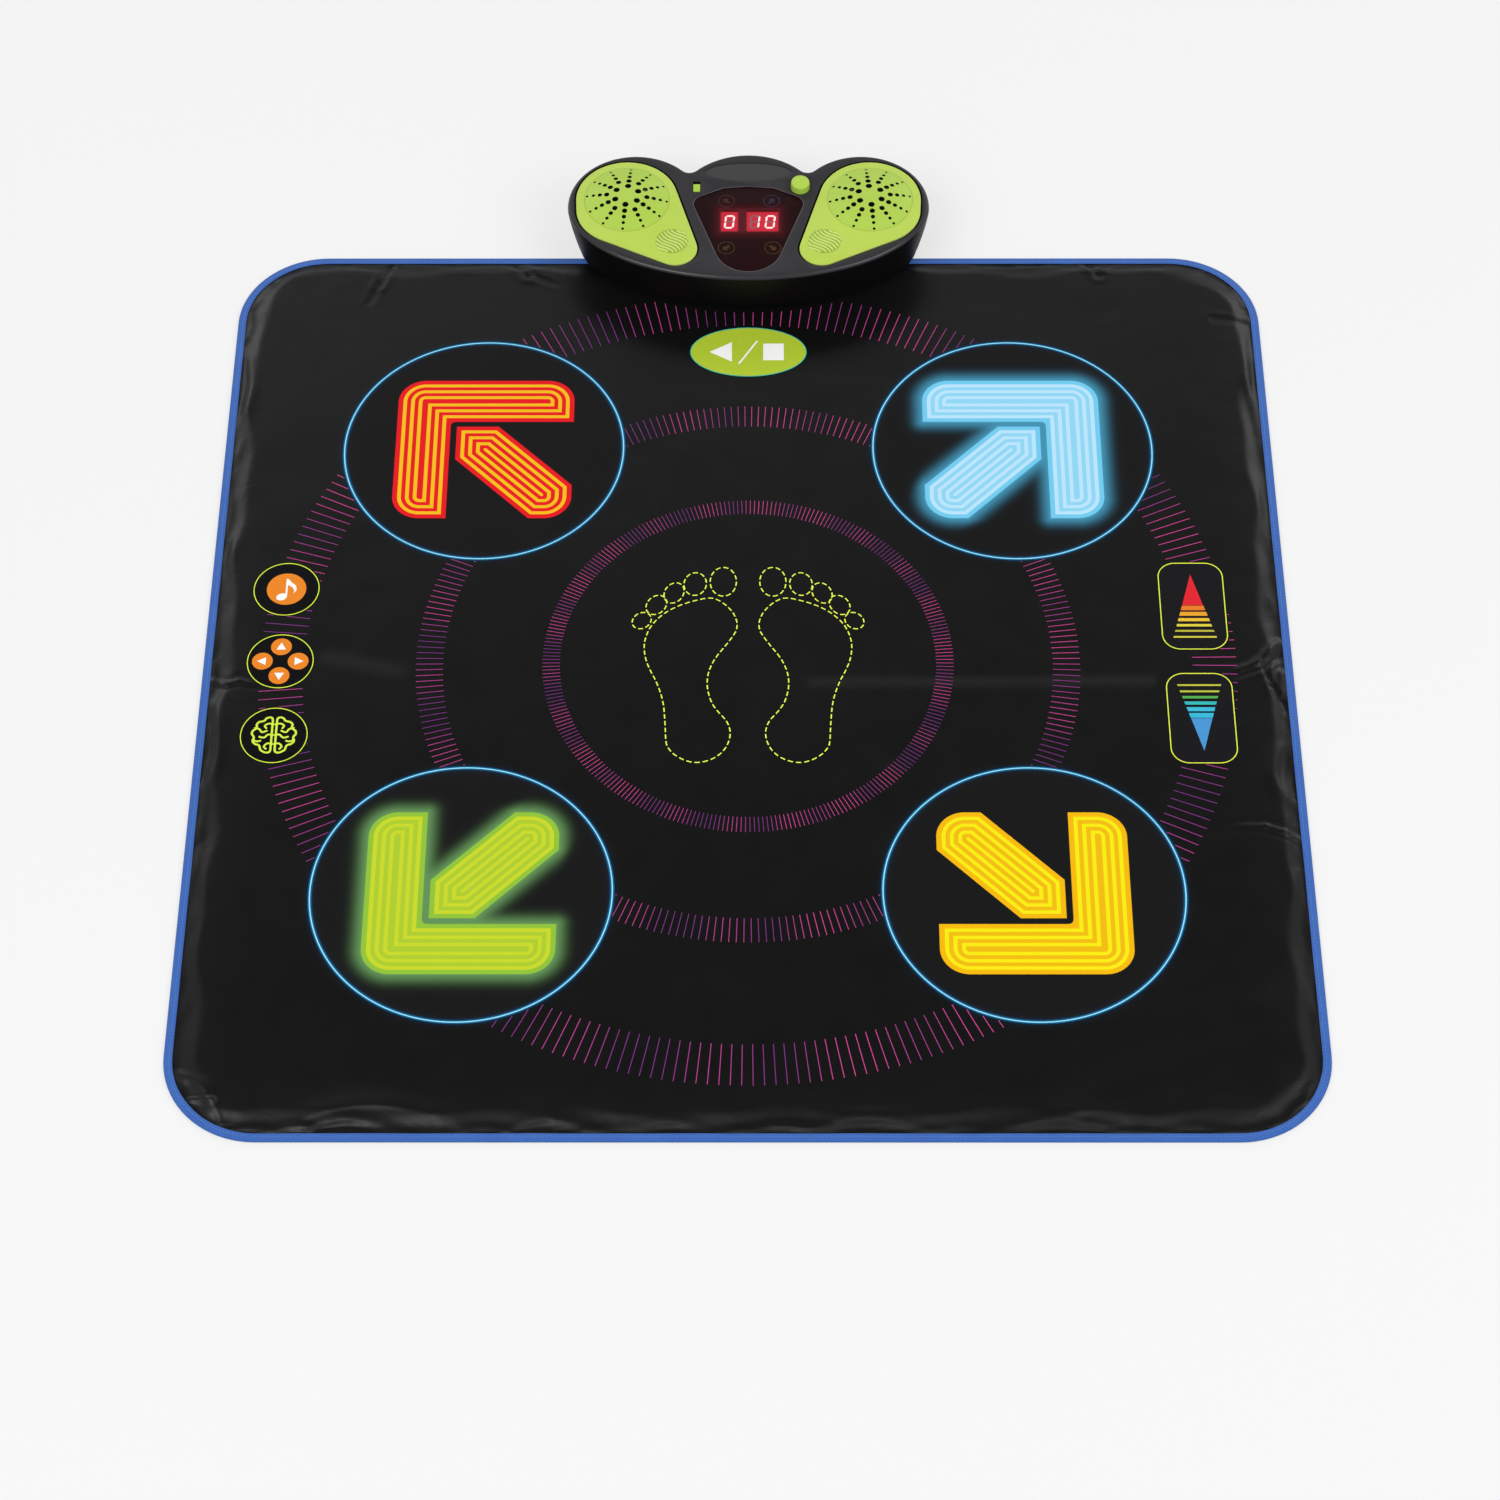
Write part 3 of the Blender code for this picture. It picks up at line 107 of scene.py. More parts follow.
# Rings of printed ticks: inner and outer radius, and half the width of a tick
TICKS = 288
TICK_STEPS = 60
TICK_RINGS = ((0.1555, 0.1700, 0.00024), (0.2520, 0.2745, 0.00027), (0.3675, 0.4040, 0.00030))

# Control box
BOX_Y = 0.46605
BOX_HALF_WIDTH = 0.1605
BOX_TOP = 0.0560
BOX_TAPER = 0.0105
LOBE_X = 0.1005
LOBE_RADIUS = 0.0600
FRONT_DEPTH = 0.0880
DIP_ANGLE = 134.6
DIP_RADIUS = 0.0080
ARCH_RISE = 0.0617
RIM_RADIUS = 0.0040
WALL = 0.0022
PARTING = 0.0140
PLATE_UNDER = 0.0516
SPEAKER_X = 0.1078
SPEAKER_Y = 0.47155
PANEL_TOP = 0.0562
PANEL = 0.0022
PANEL_GROOVE = 0.0017
PANEL_EDGE = 0.0011
DOME_RADIUS = 0.0375
DOME_RISE = 0.0062
DOME_WALL = 0.0018
BUTTON = (0.0460, 0.48705)
BUTTON_RADIUS = 0.0083
BUTTON_TOP = 0.0637
KNOB = (-0.0460, 0.48705)
GAP = 0.0003
LENS = 0.0020
LENS_PRINT = 0.00003
MARK = 0.00001

# Marks on the box: the plaque's middle and half sizes, the grip patch's middle and reach, the number windows
PLAQUE = (0.0, BOX_Y + 0.0392, 0.0380, 0.0110)
GRIP = (0.0672, 0.4218)
GRIP_REACH = 0.0148
NUMBERS_Y = 0.44795
NUMBERS_HALF = 0.0125
SCORE_WINDOW = (-0.0168, 0.0078)
LEVEL_WINDOW = (0.0124, 0.0142)

BLACK = (0.0, 0.0, 0.0, 1.0)


def srgb(code):
    """A colour written as print colours are, as linear light."""
    parts = [int(code[i : i + 2], 16) / 255 for i in (1, 3, 5)]
    linear = [p / 12.92 if p <= 0.04045 else ((p + 0.055) / 1.055) ** 2.4 for p in parts]
    return (*linear, 1.0)


class Value:
    """A shader socket that Python's arithmetic adds nodes to."""

    def __init__(self, finish, output):
        self.finish = finish
        self.output = output

    def maths(self, operation, *others):
        return self.finish.maths(operation, self, *others)

    def __add__(self, other):
        return self.maths("ADD", other)

    __radd__ = __add__

    def __sub__(self, other):
        return self.maths("SUBTRACT", other)

    def __rsub__(self, other):
        return self.finish.maths("SUBTRACT", other, self)

    def __mul__(self, other):
        return self.maths("MULTIPLY", other)

    __rmul__ = __mul__

    def __truediv__(self, other):
        return self.maths("DIVIDE", other)

    def __mod__(self, other):
        return self.maths("FLOORED_MODULO", other)

    def __pow__(self, other):
        return self.maths("POWER", other)

    def __neg__(self):
        return self * -1.0

    def __abs__(self):
        return self.maths("ABSOLUTE")

    def most(self, other):
        return self.maths("MAXIMUM", other)

    def least(self, other):
        return self.maths("MINIMUM", other)

    def sine(self):
        return self.maths("SINE")

    def exp(self):
        """e to the power of the value."""
        return self.finish.maths("POWER", 2.718, self)

    def rise(self, low, high):
        """0 below low and 1 above high, with a soft step between them."""
        settings = {"interpolation_type": "SMOOTHSTEP"}
        sockets = {"Value": self, "From Min": low, "From Max": high}
        return self.finish.node("ShaderNodeMapRange", settings, sockets)

    def fall(self, low, high):
        """1 below low and 0 above high."""
        return 1.0 - self.rise(low, high)


class Finish:
    """A material, its shader and the nodes that feed it."""

    def __init__(self, name, fixed):
        self.material = bpy.data.materials.new(name)
        self.material.use_nodes = True
        self.tree = self.material.node_tree
        self.shader = self.tree.nodes["Principled BSDF"]
        for socket, value in fixed.items():
            self.shader.inputs[socket].default_value = value
        self.at = self.node("ShaderNodeTexCoord", {}, {}, "Object")

    def node(self, kind, settings, sockets, output=0):
        """Adds a node: its settings first, then the values or links of its sockets."""
        made = self.tree.nodes.new(kind)
        for name, value in settings.items():
            setattr(made, name, value)
        for key, value in sockets.items():
            self.feed(made.inputs[key], value)
        return Value(self, made.outputs[output])

    def feed(self, socket, value):
        if isinstance(value, Value):
            self.tree.links.new(value.output, socket)
        else:
            socket.default_value = value

    def maths(self, operation, *values):
        return self.node("ShaderNodeMath", {"operation": operation}, dict(enumerate(values)))

    def place(self):
        """Object coordinates, one by one."""
        parts = self.node("ShaderNodeSeparateXYZ", {}, {0: self.at})
        node = parts.output.node
        return [Value(self, node.outputs[i]) for i in range(3)]

    def length(self, x, y):
        """How long a step of x and y is."""
        return (x * x + y * y) ** 0.5

    def mix(self, share, first, second):
        """A colour between two colours."""
        return self.node("ShaderNodeMix", {"data_type": "RGBA"}, {0: share, 6: first, 7: second}, 2)

    def noise(self, size, detail=2.0, roughness=0.5, distortion=0.0):
        """Noise whose features have about the given size in metres."""
        sockets = {"Vector": self.at, "Scale": 1.0 / size, "Detail": detail}
        sockets.update({"Roughness": roughness, "Distortion": distortion})
        return self.node("ShaderNodeTexNoise", {}, sockets)

    def cells(self, size, feature="F1"):
        """Distance to the middle or the border of scattered cells of about the given size."""
        sockets = {"Vector": self.at, "Scale": 1.0 / size}
        return self.node("ShaderNodeTexVoronoi", {"feature": feature}, sockets)

    def tones(self, share, first, second):
        """Gives the surface a colour between two print colours."""
        self.use("Base Color", self.mix(share, srgb(first), srgb(second)))

    def bump(self, height, depth):
        """Presses a height from 0 to 1 into the surface, depth metres deep."""
        sockets = {"Strength": 1.0, "Distance": depth, "Height": height}
        self.use("Normal", self.node("ShaderNodeBump", {}, sockets))

    def use(self, socket, value):
        self.feed(self.shader.inputs[socket], value)


def shaded(base, share, more=0.0):
    """A colour with its light multiplied."""
    return (*[min(1.0, c * share + more) for c in base[:3]], 1.0)


def grey(light):
    """An even colour of the given light."""
    return (light, light, light, 1.0)


def moulded(name, tint, roughness=0.42, grain=0.000012, size=0.0005):
    """Moulded plastic: a fine spark-eroded grain, slow changes of tint and a few rubbed patches."""
    finish = Finish(name, {"Specular IOR Level": 0.5})
    slow = finish.noise(0.035, 3.0)
    base = srgb(tint)
    finish.use("Base Color", finish.mix(slow, shaded(base, 0.88), shaded(base, 1.10, 0.001)))
    worn = finish.noise(0.012, 4.0, 0.6).rise(0.45, 0.75)
    finish.use("Roughness", roughness - 0.05 * worn + 0.04 * slow)
    finish.bump(finish.noise(size, 2.0), grain)
    return finish


def ink(name, tint, glow=0.0):
    """Screen-printed ink: nearly even, with a slight mottle and its own soft sheen."""
    fixed = {"Specular IOR Level": 0.3}
    if glow:
        fixed["Emission Strength"] = glow
    finish = Finish(name, fixed)
    mottle = finish.noise(0.004, 3.0)
    base = srgb(tint)
    tone = finish.mix(mottle, shaded(base, 0.90), base)
    finish.use("Base Color", tone)
    if glow:
        finish.use("Emission Color", tone)
    finish.use("Roughness", 0.40 + 0.12 * mottle)
    finish.bump(finish.noise(0.0011, 2.0), 0.000008)
    return finish


def folded(finish):
    """Distances from the middle of the nearest arrow zone, outwards, in millimetres."""
    x, y, _ = finish.place()
    return (abs(x) - ARROW) * 1000.0, (abs(y) - ARROW) * 1000.0


def neon(finish, u, v, tone):
    """The thin bright circle printed round every arrow, with its blue glow."""
    off = abs(finish.length(u, v) - NEON_RADIUS)
    halo = off.fall(1.2, 2.2) * 0.55 + (off * -0.80).exp() * 0.40
    tone = finish.mix(halo, tone, srgb("#0a72aa"))
    line = off.fall(0.10, 0.75)
    return finish.mix(line, tone, srgb("#a0eaff")), line


def fold_line(finish, x, y, start, end, width):
    """A soft ridge along a line between two places."""
    (ax, ay), (bx, by) = start, end
    run = (bx - ax) ** 2 + (by - ay) ** 2
    share = ((x - ax) * ((bx - ax) / run) + (y - ay) * ((by - ay) / run)).most(0.0).least(1.0)
    off = finish.length(x - (share * (bx - ax) + ax), y - (share * (by - ay) + ay))
    return ((off / width) ** 2.0 * -1.0).exp()


def old_folds(finish, x, y):
    """Two soft lines left where the mat was folded."""
    left = fold_line(finish, x, y, (-0.345, 0.001), (-0.290, -0.012), 0.008)
    return left + fold_line(finish, x, y, (0.055, -0.024), (0.330, -0.022), 0.006)


def from_edge(x, y):
    """How far a place on the mat lies in from its straight sides, as a shader value."""
    return MAT_HALF - abs(x).most(abs(y))


def vinyl_relief(finish):
    """Slack in the skin: slow waves, old fold lines and crinkles that grow towards the woven edge."""
    x, y, _ = finish.place()
    near = from_edge(x, y).fall(0.012, SLACK_BAND)
    folds = old_folds(finish, x, y) * 0.18
    folds = folds + fold_line(finish, x, y, (0.455, -0.325), (0.250, -0.352), 0.016) * 0.32
    folds = folds + fold_line(finish, x, y, (0.445, -0.348), (0.235, -0.424), 0.017) * 0.42
    folds = folds + fold_line(finish, x, y, (0.292, -0.436), (0.356, -0.406), 0.009) * -0.20
    slow = finish.noise(0.110, 2.0, 0.45, distortion=0.6)
    crinkle = finish.noise(0.020, 3.0, 0.5, distortion=1.4)
    grain = finish.noise(0.0012, 2.0)
    return slow * 0.40 + crinkle * near * 0.12 + grain * 0.004 + folds


def make_vinyl():
    """Black glossy skin with the glow of the neon circles bleeding over its cut edges."""
    finish = Finish("printed_black_vinyl", {"Specular IOR Level": 0.36})
    u, v = folded(finish)
    slow = finish.noise(0.090, 3.0)
    base = finish.mix(slow, srgb("#090909"), srgb("#0d0d0e"))
    finish.use("Base Color", neon(finish, u, v, base)[0])
    x, y, _ = finish.place()
    near = from_edge(x, y).fall(0.020, SLACK_BAND)
    worn = 0.03 * near + 0.14 * old_folds(finish, x, y)
    finish.use("Roughness", 0.28 + 0.09 * finish.noise(0.030, 4.0, 0.6) + worn)
    finish.bump(vinyl_relief(finish), 0.0022)
    return finish


def make_arrow_finish(name, border, body, stripe, glow=None):
    """The print of one arrow zone: an outward arrow in stripes that follow its own outline."""
    finish = Finish(name, {"Specular IOR Level": 0.12, "Emission Strength": 0.0})
    u, v = folded(finish)
    straight = ARROW_HALF - ARROW_CORNER
    cx, cy = abs(u) - straight, abs(v) - straight
    inner = ARROW_CORNER - (finish.length(cx.most(0.0), cy.most(0.0)) + cx.most(cy).least(0.0))
    far = u.most(v)
    fillet = (5.0 - abs(u - v)).most(0.0)
    head = inner.least(far - ARROW_HEAD)
    corner = inner.least(far + fillet * fillet / 20.0 - ARROW_HEAD)
    bar = inner.least(ARROW_BAR - far).least((BAR_REACH - abs(u - v)) * DIAGONAL)
    depth = head.most(bar)
    inside = corner.most(bar).rise(-0.12, 0.12)
    phase = abs((depth - 2.475) % 6.65 - 3.325)
    line = phase.fall(1.45, 1.75) * depth.rise(1.5, 2.0)
    mottle = finish.noise(0.006, 3.0)
    black = finish.mix(mottle, srgb("#161617"), srgb("#19191a"))
    rim = depth.fall(3.4, 4.2)
    arrow = finish.mix(line, finish.mix(rim, srgb(body), srgb(border)), srgb(stripe))
    tone, ring = neon(finish, u, v, black)
    lit = finish.mix(0.80, arrow, BLACK) if glow else arrow
    finish.use("Base Color", finish.mix(inside, tone, lit))
    if glow:
        beyond = (-inner).most(0.0)
        to_head = finish.length(beyond, (ARROW_HEAD - far).most(0.0))
        past = (abs(u - v) - BAR_REACH) * DIAGONAL
        ends = finish.length((far - ARROW_BAR).most(0.0), past.most(0.0))
        dark_share = 1.0
        for gap in (to_head, finish.length(beyond, ends)):
            part = (gap * gap * -0.0165).exp() * 0.72 + (gap * -0.40).exp() * 0.22
            dark_share = dark_share * (1.0 - part)
        halo = 1.0 - dark_share
        # The printed neon ring gives off a painted glow on the lit zones too.
        around = finish.mix(halo, finish.mix(ring * 0.25, BLACK, srgb("#a0eaff")), srgb(glow))
        finish.use("Emission Color", finish.mix(inside, around, arrow))
        finish.shader.inputs["Emission Strength"].default_value = 0.80
    else:
        # On unlit zones only the printed neon ring glows: a painted glow.
        finish.use("Emission Color", finish.mix(ring * (1.0 - inside), BLACK, srgb("#a0eaff")))
        finish.shader.inputs["Emission Strength"].default_value = 0.18
    finish.use("Roughness", 0.34 + 0.10 * finish.noise(0.030, 4.0, 0.6))
    finish.bump(vinyl_relief(finish), 0.0014)
    return finish


def make_zone_finish(name, tint):
    """Flat black print of the small zones."""
    finish = Finish(name, {"Specular IOR Level": 0.15})
    mottle = finish.noise(0.006, 3.0)
    finish.tones(mottle, tint, tint[:-1] + "c")
    finish.use("Roughness", 0.36 + 0.10 * mottle)
    finish.bump(finish.noise(0.0012, 2.0), 0.000010)
    return finish


def make_tick_ink():
    """Tick ink that runs from pink to purple and back as it goes round the rings, with a faint painted glow."""
    finish = Finish("tick_ink", {"Specular IOR Level": 0.3, "Emission Strength": 0.12})
    x, y, _ = finish.place()
    turn = finish.maths("ARCTAN2", y, x)
    sway = (turn * 22.0).sine() * 0.5 + (turn * 5.0 + 1.0).sine() * 0.35
    share = (sway * 0.62 + 0.5).rise(0.05, 0.95)
    tone = finish.mix(share, srgb("#7b3084"), srgb("#d04592"))
    finish.use("Base Color", tone)
    finish.use("Emission Color", tone)
    finish.use("Roughness", 0.42 + 0.12 * finish.noise(0.004, 2.0))
    finish.bump(finish.noise(0.0011, 2.0), 0.000008)
    return finish


def make_tape():
    """Blue woven binding: ribs of yarn across it, a slack line of stitches near its inner edge."""
    finish = Finish("blue_woven_tape", {"Specular IOR Level": 0.25, "Sheen Weight": 0.25})
    strip = finish.node("ShaderNodeTexCoord", {}, {}, "UV")
    parts = finish.node("ShaderNodeSeparateXYZ", {}, {0: strip}).output.node
    along, across = [Value(finish, parts.outputs[i]) for i in range(2)]
    warp = (along * (math.tau / 0.00160)).sine()
    weft = (across * (math.tau / 0.00115) + finish.maths("SIGN", warp) * 1.57).sine()
    weave = warp * 0.35 + weft * 0.65
    off_seam = abs(abs(across) - 0.0052)
    stitch = off_seam.fall(0.00022, 0.00042) * (along * (math.tau / 0.0030)).sine().rise(-0.35, 0.05)
    slow = finish.noise(0.030, 3.0)
    blue = finish.mix(slow, srgb("#3566bf"), srgb("#4379cf"))
    # The weave's low parts are darker: painted shade between the yarns.
    tone = finish.mix(weave.fall(-0.9, 0.2) * 0.70, blue, srgb("#234a94"))
    finish.use("Base Color", finish.mix(stitch * 0.8, tone, srgb("#5b8ddb")))
    finish.use("Roughness", 0.62 + 0.10 * slow)
    finish.bump(weave * 0.5 + 0.5 + stitch * 1.3, 0.00016)
    return finish


def make_grille_finish():
    """Lime panel plastic with painted shade round the dome's foot, between the ribs of the grip patch and on
    the panel's walls, a darker dome tint as painted shade, and painted highlights on the rib tops and the
    rounded rim.
    """
    finish = Finish("lime_grille", {"Specular IOR Level": 0.5})
    x, y, z = finish.place()
    slow = finish.noise(0.035, 3.0)
    base = finish.mix(slow, srgb("#bdd950"), srgb("#cbe563"))
    out = finish.length(abs(x) - SPEAKER_X, y - SPEAKER_Y)
    # Painted shade in the line round the dome's foot.
    foot = abs(out - (DOME_RADIUS + 0.0002)).fall(0.0001, 0.0007)
    patch = finish.length(abs(x) - GRIP[0], y - GRIP[1]).fall(0.0136, 0.0150)
    # Painted shade low between the grip ribs.
    painted_rib_shade = patch * z.fall(PANEL_TOP + 0.0001, PANEL_TOP + 0.0006)
    # Painted shade on the panel's walls and underside.
    deep = z.fall(PANEL_TOP - 0.0013, PANEL_TOP - 0.0008)
    shade = (foot * 0.35).most(painted_rib_shade * 0.48).most(deep * 0.85)
    # The dome is tinted darker as painted shade.
    dome = out.fall(DOME_RADIUS - 0.0005, DOME_RADIUS)
    base = finish.mix(dome * 0.45, base, srgb("#aad64c"))
    # Painted highlights on the rib tops and on the panel's rounded rim.
    painted_rib_highlight = patch * z.rise(PANEL_TOP + 0.0007, PANEL_TOP + 0.0011) * 0.7
    rim = z.fall(PANEL_TOP - 0.0004, PANEL_TOP - 0.00003)
    base = finish.mix(painted_rib_highlight.most(rim), base, srgb("#e6f494"))
    finish.use("Base Color", finish.mix(shade, base, srgb("#5d7d22")))
    finish.use("Roughness", 0.38 + 0.05 * slow)
    finish.bump(finish.noise(0.0004, 2.0), 0.000008)
    return finish


def linked(name, data):
    """A new object in the scene."""
    made = bpy.data.objects.new(name, data)
    bpy.context.scene.collection.objects.link(made)
    return made


def meshed(name, shape):
    """A mesh from a bmesh, which is used up."""
    mesh = bpy.data.meshes.new(name)
    shape.to_mesh(mesh)
    shape.free()
    return mesh


def made_mesh(name, shape, finishes, degrees=35.0):
    """A mesh from a bmesh, smooth but for its sharp edges and its borders."""
    shape.edges.index_update()
    borders = [edge.index for edge in shape.edges if edge.is_boundary]
    mesh = meshed(name, shape)
    for finish in finishes:
        mesh.materials.append(finish.material)
    mesh.shade_smooth()
    mesh.set_sharp_from_angle(angle=math.radians(degrees))
    sharp = mesh.attributes.get("sharp_edge") or mesh.attributes.new("sharp_edge", "BOOLEAN", "EDGE")
    for index in borders:
        sharp.data[index].value = True
    return mesh


def piece(name, shape, finishes, body="mat_and_box", degrees=35.0):
    """Shows a bmesh as a piece that rides on a body."""
    made = linked(name, made_mesh(name, shape, finishes, degrees))
    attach(made, body)
    return made


def thicken(made, thickness):
    """Gives a sheet its thickness, downwards from its face."""
    solid = made.modifiers.new("thickness", "SOLIDIFY")
    solid.thickness = thickness
    solid.offset = -1.0
    return made


def arc(x, y, radius, start, end, steps):
    """Points on an arc between two angles in degrees, both ends included."""
    angles = [math.radians(start + (end - start) * i / steps) for i in range(steps + 1)]
    return [(x + radius * math.cos(a), y + radius * math.sin(a)) for a in angles]


def oval(x, y, half_x, half_y, steps):
    """Points round an oval."""
    angles = [math.tau * i / steps for i in range(steps)]
    return [(x + half_x * math.cos(a), y + half_y * math.sin(a)) for a in angles]


def rounded(x, y, half_x, half_y, radius, steps=10):
    """Points round a rectangle with round corners."""
    points = []
    for quarter, (sx, sy) in enumerate(((1, 1), (-1, 1), (-1, -1), (1, -1))):
        middle = (x + sx * (half_x - radius), y + sy * (half_y - radius))
        points += arc(*middle, radius, 90 * quarter, 90 * quarter + 90, steps)
    return points


def moved(points, x, y, turn=0.0, flip=1.0):
    """Points turned by degrees and moved; a flip of -1 mirrors them left to right first."""
    c, s = math.cos(math.radians(turn)), math.sin(math.radians(turn))
    return [(x + px * flip * c - py * s, y + px * flip * s + py * c) for px, py in points]


def pairs(points):
    """Each point of a closed outline with the one after it."""
    return zip(points, points[1:] + points[:1])


def span(outline):
    """The least and the greatest x, then y, of an outline."""
    xs, ys = zip(*outline)
    return min(xs), max(xs), min(ys), max(ys)


def spun_curve(points, closed=False, steps=6):
    """A smooth curve through points."""
    count = len(points)
    smooth = []
    for i in range(count if closed else count - 1):
        around = range(i - 1, i + 3)
        near = [points[k % count] if closed else points[min(max(k, 0), count - 1)] for k in around]
        for j in range(steps):
            t = j / steps
            weights = (
                (-t + 2 * t * t - t**3) / 2,
                (2 - 5 * t * t + 3 * t**3) / 2,
                (t + 4 * t * t - 3 * t**3) / 2,
                (t**3 - t * t) / 2,
            )
            smooth.append(tuple(sum(w * p[axis] for w, p in zip(weights, near)) for axis in (0, 1)))
    return smooth if closed else smooth + [points[-1]]


def stroke(points, width):
    """The outline of a pen stroke of even width with round ends."""
    half = width / 2
    left, right = [], []
    for i, (x, y) in enumerate(points):
        ax, ay = points[max(i - 1, 0)]
        bx, by = points[min(i + 1, len(points) - 1)]
        size = math.hypot(bx - ax, by - ay) or 1.0
        nx, ny = -(by - ay) / size * half, (bx - ax) / size * half
        left.append((x + nx, y + ny))
        right.append((x - nx, y - ny))
    caps = []
    for (x, y), (sx, sy) in ((points[-1], left[-1]), (points[0], right[0])):
        start = math.degrees(math.atan2(sy - y, sx - x))
        caps.append(arc(x, y, half, start, start - 180, 6)[1:-1])
    return left + caps[0] + right[::-1] + caps[1]


def turning(points):
    """Twice an outline's area, above zero where it runs anticlockwise."""
    return sum(ax * by - bx * ay for (ax, ay), (bx, by) in pairs(points))


def inner_line(points, width):
    """A closed outline drawn in by a width."""
    ahead = zip(points[-1:] + points[:-1], points[1:] + points[:1])
    way = math.copysign(width, turning(points))
    drawn = []
    for (x, y), ((ax, ay), (bx, by)) in zip(points, ahead):
        size = math.hypot(bx - ax, by - ay) or 1.0
        drawn.append((x - (by - ay) / size * way, y + (bx - ax) / size * way))
    return drawn


def filled(outlines):
    """A flat sheet of the given outlines, those inside others being holes."""
    curve = bpy.data.curves.new("outline", "CURVE")
    curve.dimensions = "2D"
    curve.fill_mode = "BOTH"
    for outline in outlines:
        spline = curve.splines.new("POLY")
        spline.points.add(len(outline) - 1)
        for point, (x, y) in zip(spline.points, outline):
            point.co = (x, y, 0.0, 1.0)
        spline.use_cyclic_u = True
    guide = linked("outline", curve)
    bpy.context.view_layer.update()
    mesh = bpy.data.meshes.new_from_object(guide.evaluated_get(bpy.context.evaluated_depsgraph_get()))
    bpy.data.objects.remove(guide)
    shape = bmesh.new()
    shape.from_mesh(mesh)
    bpy.data.meshes.remove(mesh)
    bmesh.ops.remove_doubles(shape, verts=shape.verts, dist=0.0000005)
    up(shape)
    return shape


def up(shape):
    """Turns every face of a flat sheet upwards."""
    shape.normal_update()
    bmesh.ops.reverse_faces(shape, faces=[face for face in shape.faces if face.normal.z < 0])


def even_cuts(low, high, pitch):
    """Places that divide a run evenly, no further apart than the pitch."""
    count = max(1, math.ceil((high - low) / pitch))
    return [low + (high - low) * i / count for i in range(1, count)]


def uneven_cuts(half, stretches):
    """Places to cut across a sheet, close together where it has creases."""
    flat = half - EDGE_BAND
    band = even_cuts(flat, half, 0.0023)
    cuts = [-place for place in band]
    low = -flat
    for high, pitch in stretches:
        cuts += [low, *even_cuts(low, high, pitch)]
        low = high
    return cuts + [low, *even_cuts(low, flat, 0.0080), flat] + band


# Where each direction of the skin's grid has stretches of their own pitch: upper end and pitch
STRETCHES = (
    (
        (-0.345, 0.0080), (-0.300, 0.0026), (-0.215, 0.0085), (-0.140, 0.0030), (0.285, 0.0085),
        (0.330, 0.0030),
    ),
    (
        (-0.190, 0.0065), (-0.155, 0.0024), (-0.060, 0.0045), (0.034, 0.0023), (0.340, 0.0075),
        (0.390, 0.0045),
    ),
)


def gridded(shape, pitch, cuts=None):
    """Cuts a flat sheet into a square grid, or at the chosen places, so that it can bend."""
    for axis in (0, 1):
        places = [vert.co[axis] for vert in shape.verts]
        way = Vector((1.0, 0.0, 0.0)) if axis == 0 else Vector((0.0, 1.0, 0.0))
        for place in cuts[axis] if cuts else even_cuts(min(places), max(places), pitch):
            whole = shape.verts[:] + shape.edges[:] + shape.faces[:]
            bmesh.ops.bisect_plane(shape, geom=whole, dist=0.0000001, plane_co=way * place, plane_no=way)
    slanting = []
    for edge in shape.edges:
        run = edge.verts[0].co - edge.verts[1].co
        if len(edge.link_faces) == 2 and abs(run.x) > 0.0000001 and abs(run.y) > 0.0000001:
            slanting.append(edge)
    bmesh.ops.dissolve_edges(shape, edges=slanting, use_verts=False)
    spare = [vert for vert in shape.verts if len(vert.link_edges) == 2 and not vert.is_boundary]
    bmesh.ops.dissolve_verts(shape, verts=spare)
    up(shape)
    return shape


def edge_distance(x, y):
    """How far a point lies in from the mat's outline."""
    dx, dy = abs(x) - MAT_HALF + MAT_CORNER, abs(y) - MAT_HALF + MAT_CORNER
    return MAT_CORNER - math.hypot(max(dx, 0.0), max(dy, 0.0)) - min(max(dx, dy), 0.0)


def ease(value, low, high):
    """0 below low and 1 above high, with a soft step between them."""
    share = min(max((value - low) / (high - low), 0.0), 1.0)
    return share * share * (3 - 2 * share)


def zone_outlines(grow=0.0):
    """The outline of every pressable zone, by the name of its pad."""
    outlines = {}
    for end, sy in (("front", -1), ("rear", 1)):
        for side, sx in (("left", -1), ("right", 1)):
            radius = ARROW_RADIUS + grow
            outlines[f"arrow_pad_{end}_{side}"] = oval(sx * ARROW, sy * ARROW, radius, radius, 120)
    x, y, half_x, half_y = PLAY
    outlines["play_stop_pad"] = oval(x, y, half_x + grow, half_y + grow, 72)
    for name, row in (("rear", 1), ("middle", 0), ("front", -1)):
        radius = MODE_RADIUS + grow
        outlines[f"mode_pad_{name}"] = oval(MODE_X, row * MODE_PITCH, radius, radius, 56)
    for name, row in (("up", 0.5), ("down", -0.5)):
        half_x, half_y = LEVEL_HALF[0] + grow, LEVEL_HALF[1] + grow
        outline = rounded(LEVEL_X, row * LEVEL_PITCH, half_x, half_y, LEVEL_CORNER + grow)
        outlines[f"level_{name}_pad"] = outline
    return outlines


STRAIGHT = MAT_HALF - MAT_CORNER
SIDE_RUN = 2 * STRAIGHT
CORNER_RUN = 0.1037
ROUND = 4 * (SIDE_RUN + CORNER_RUN)


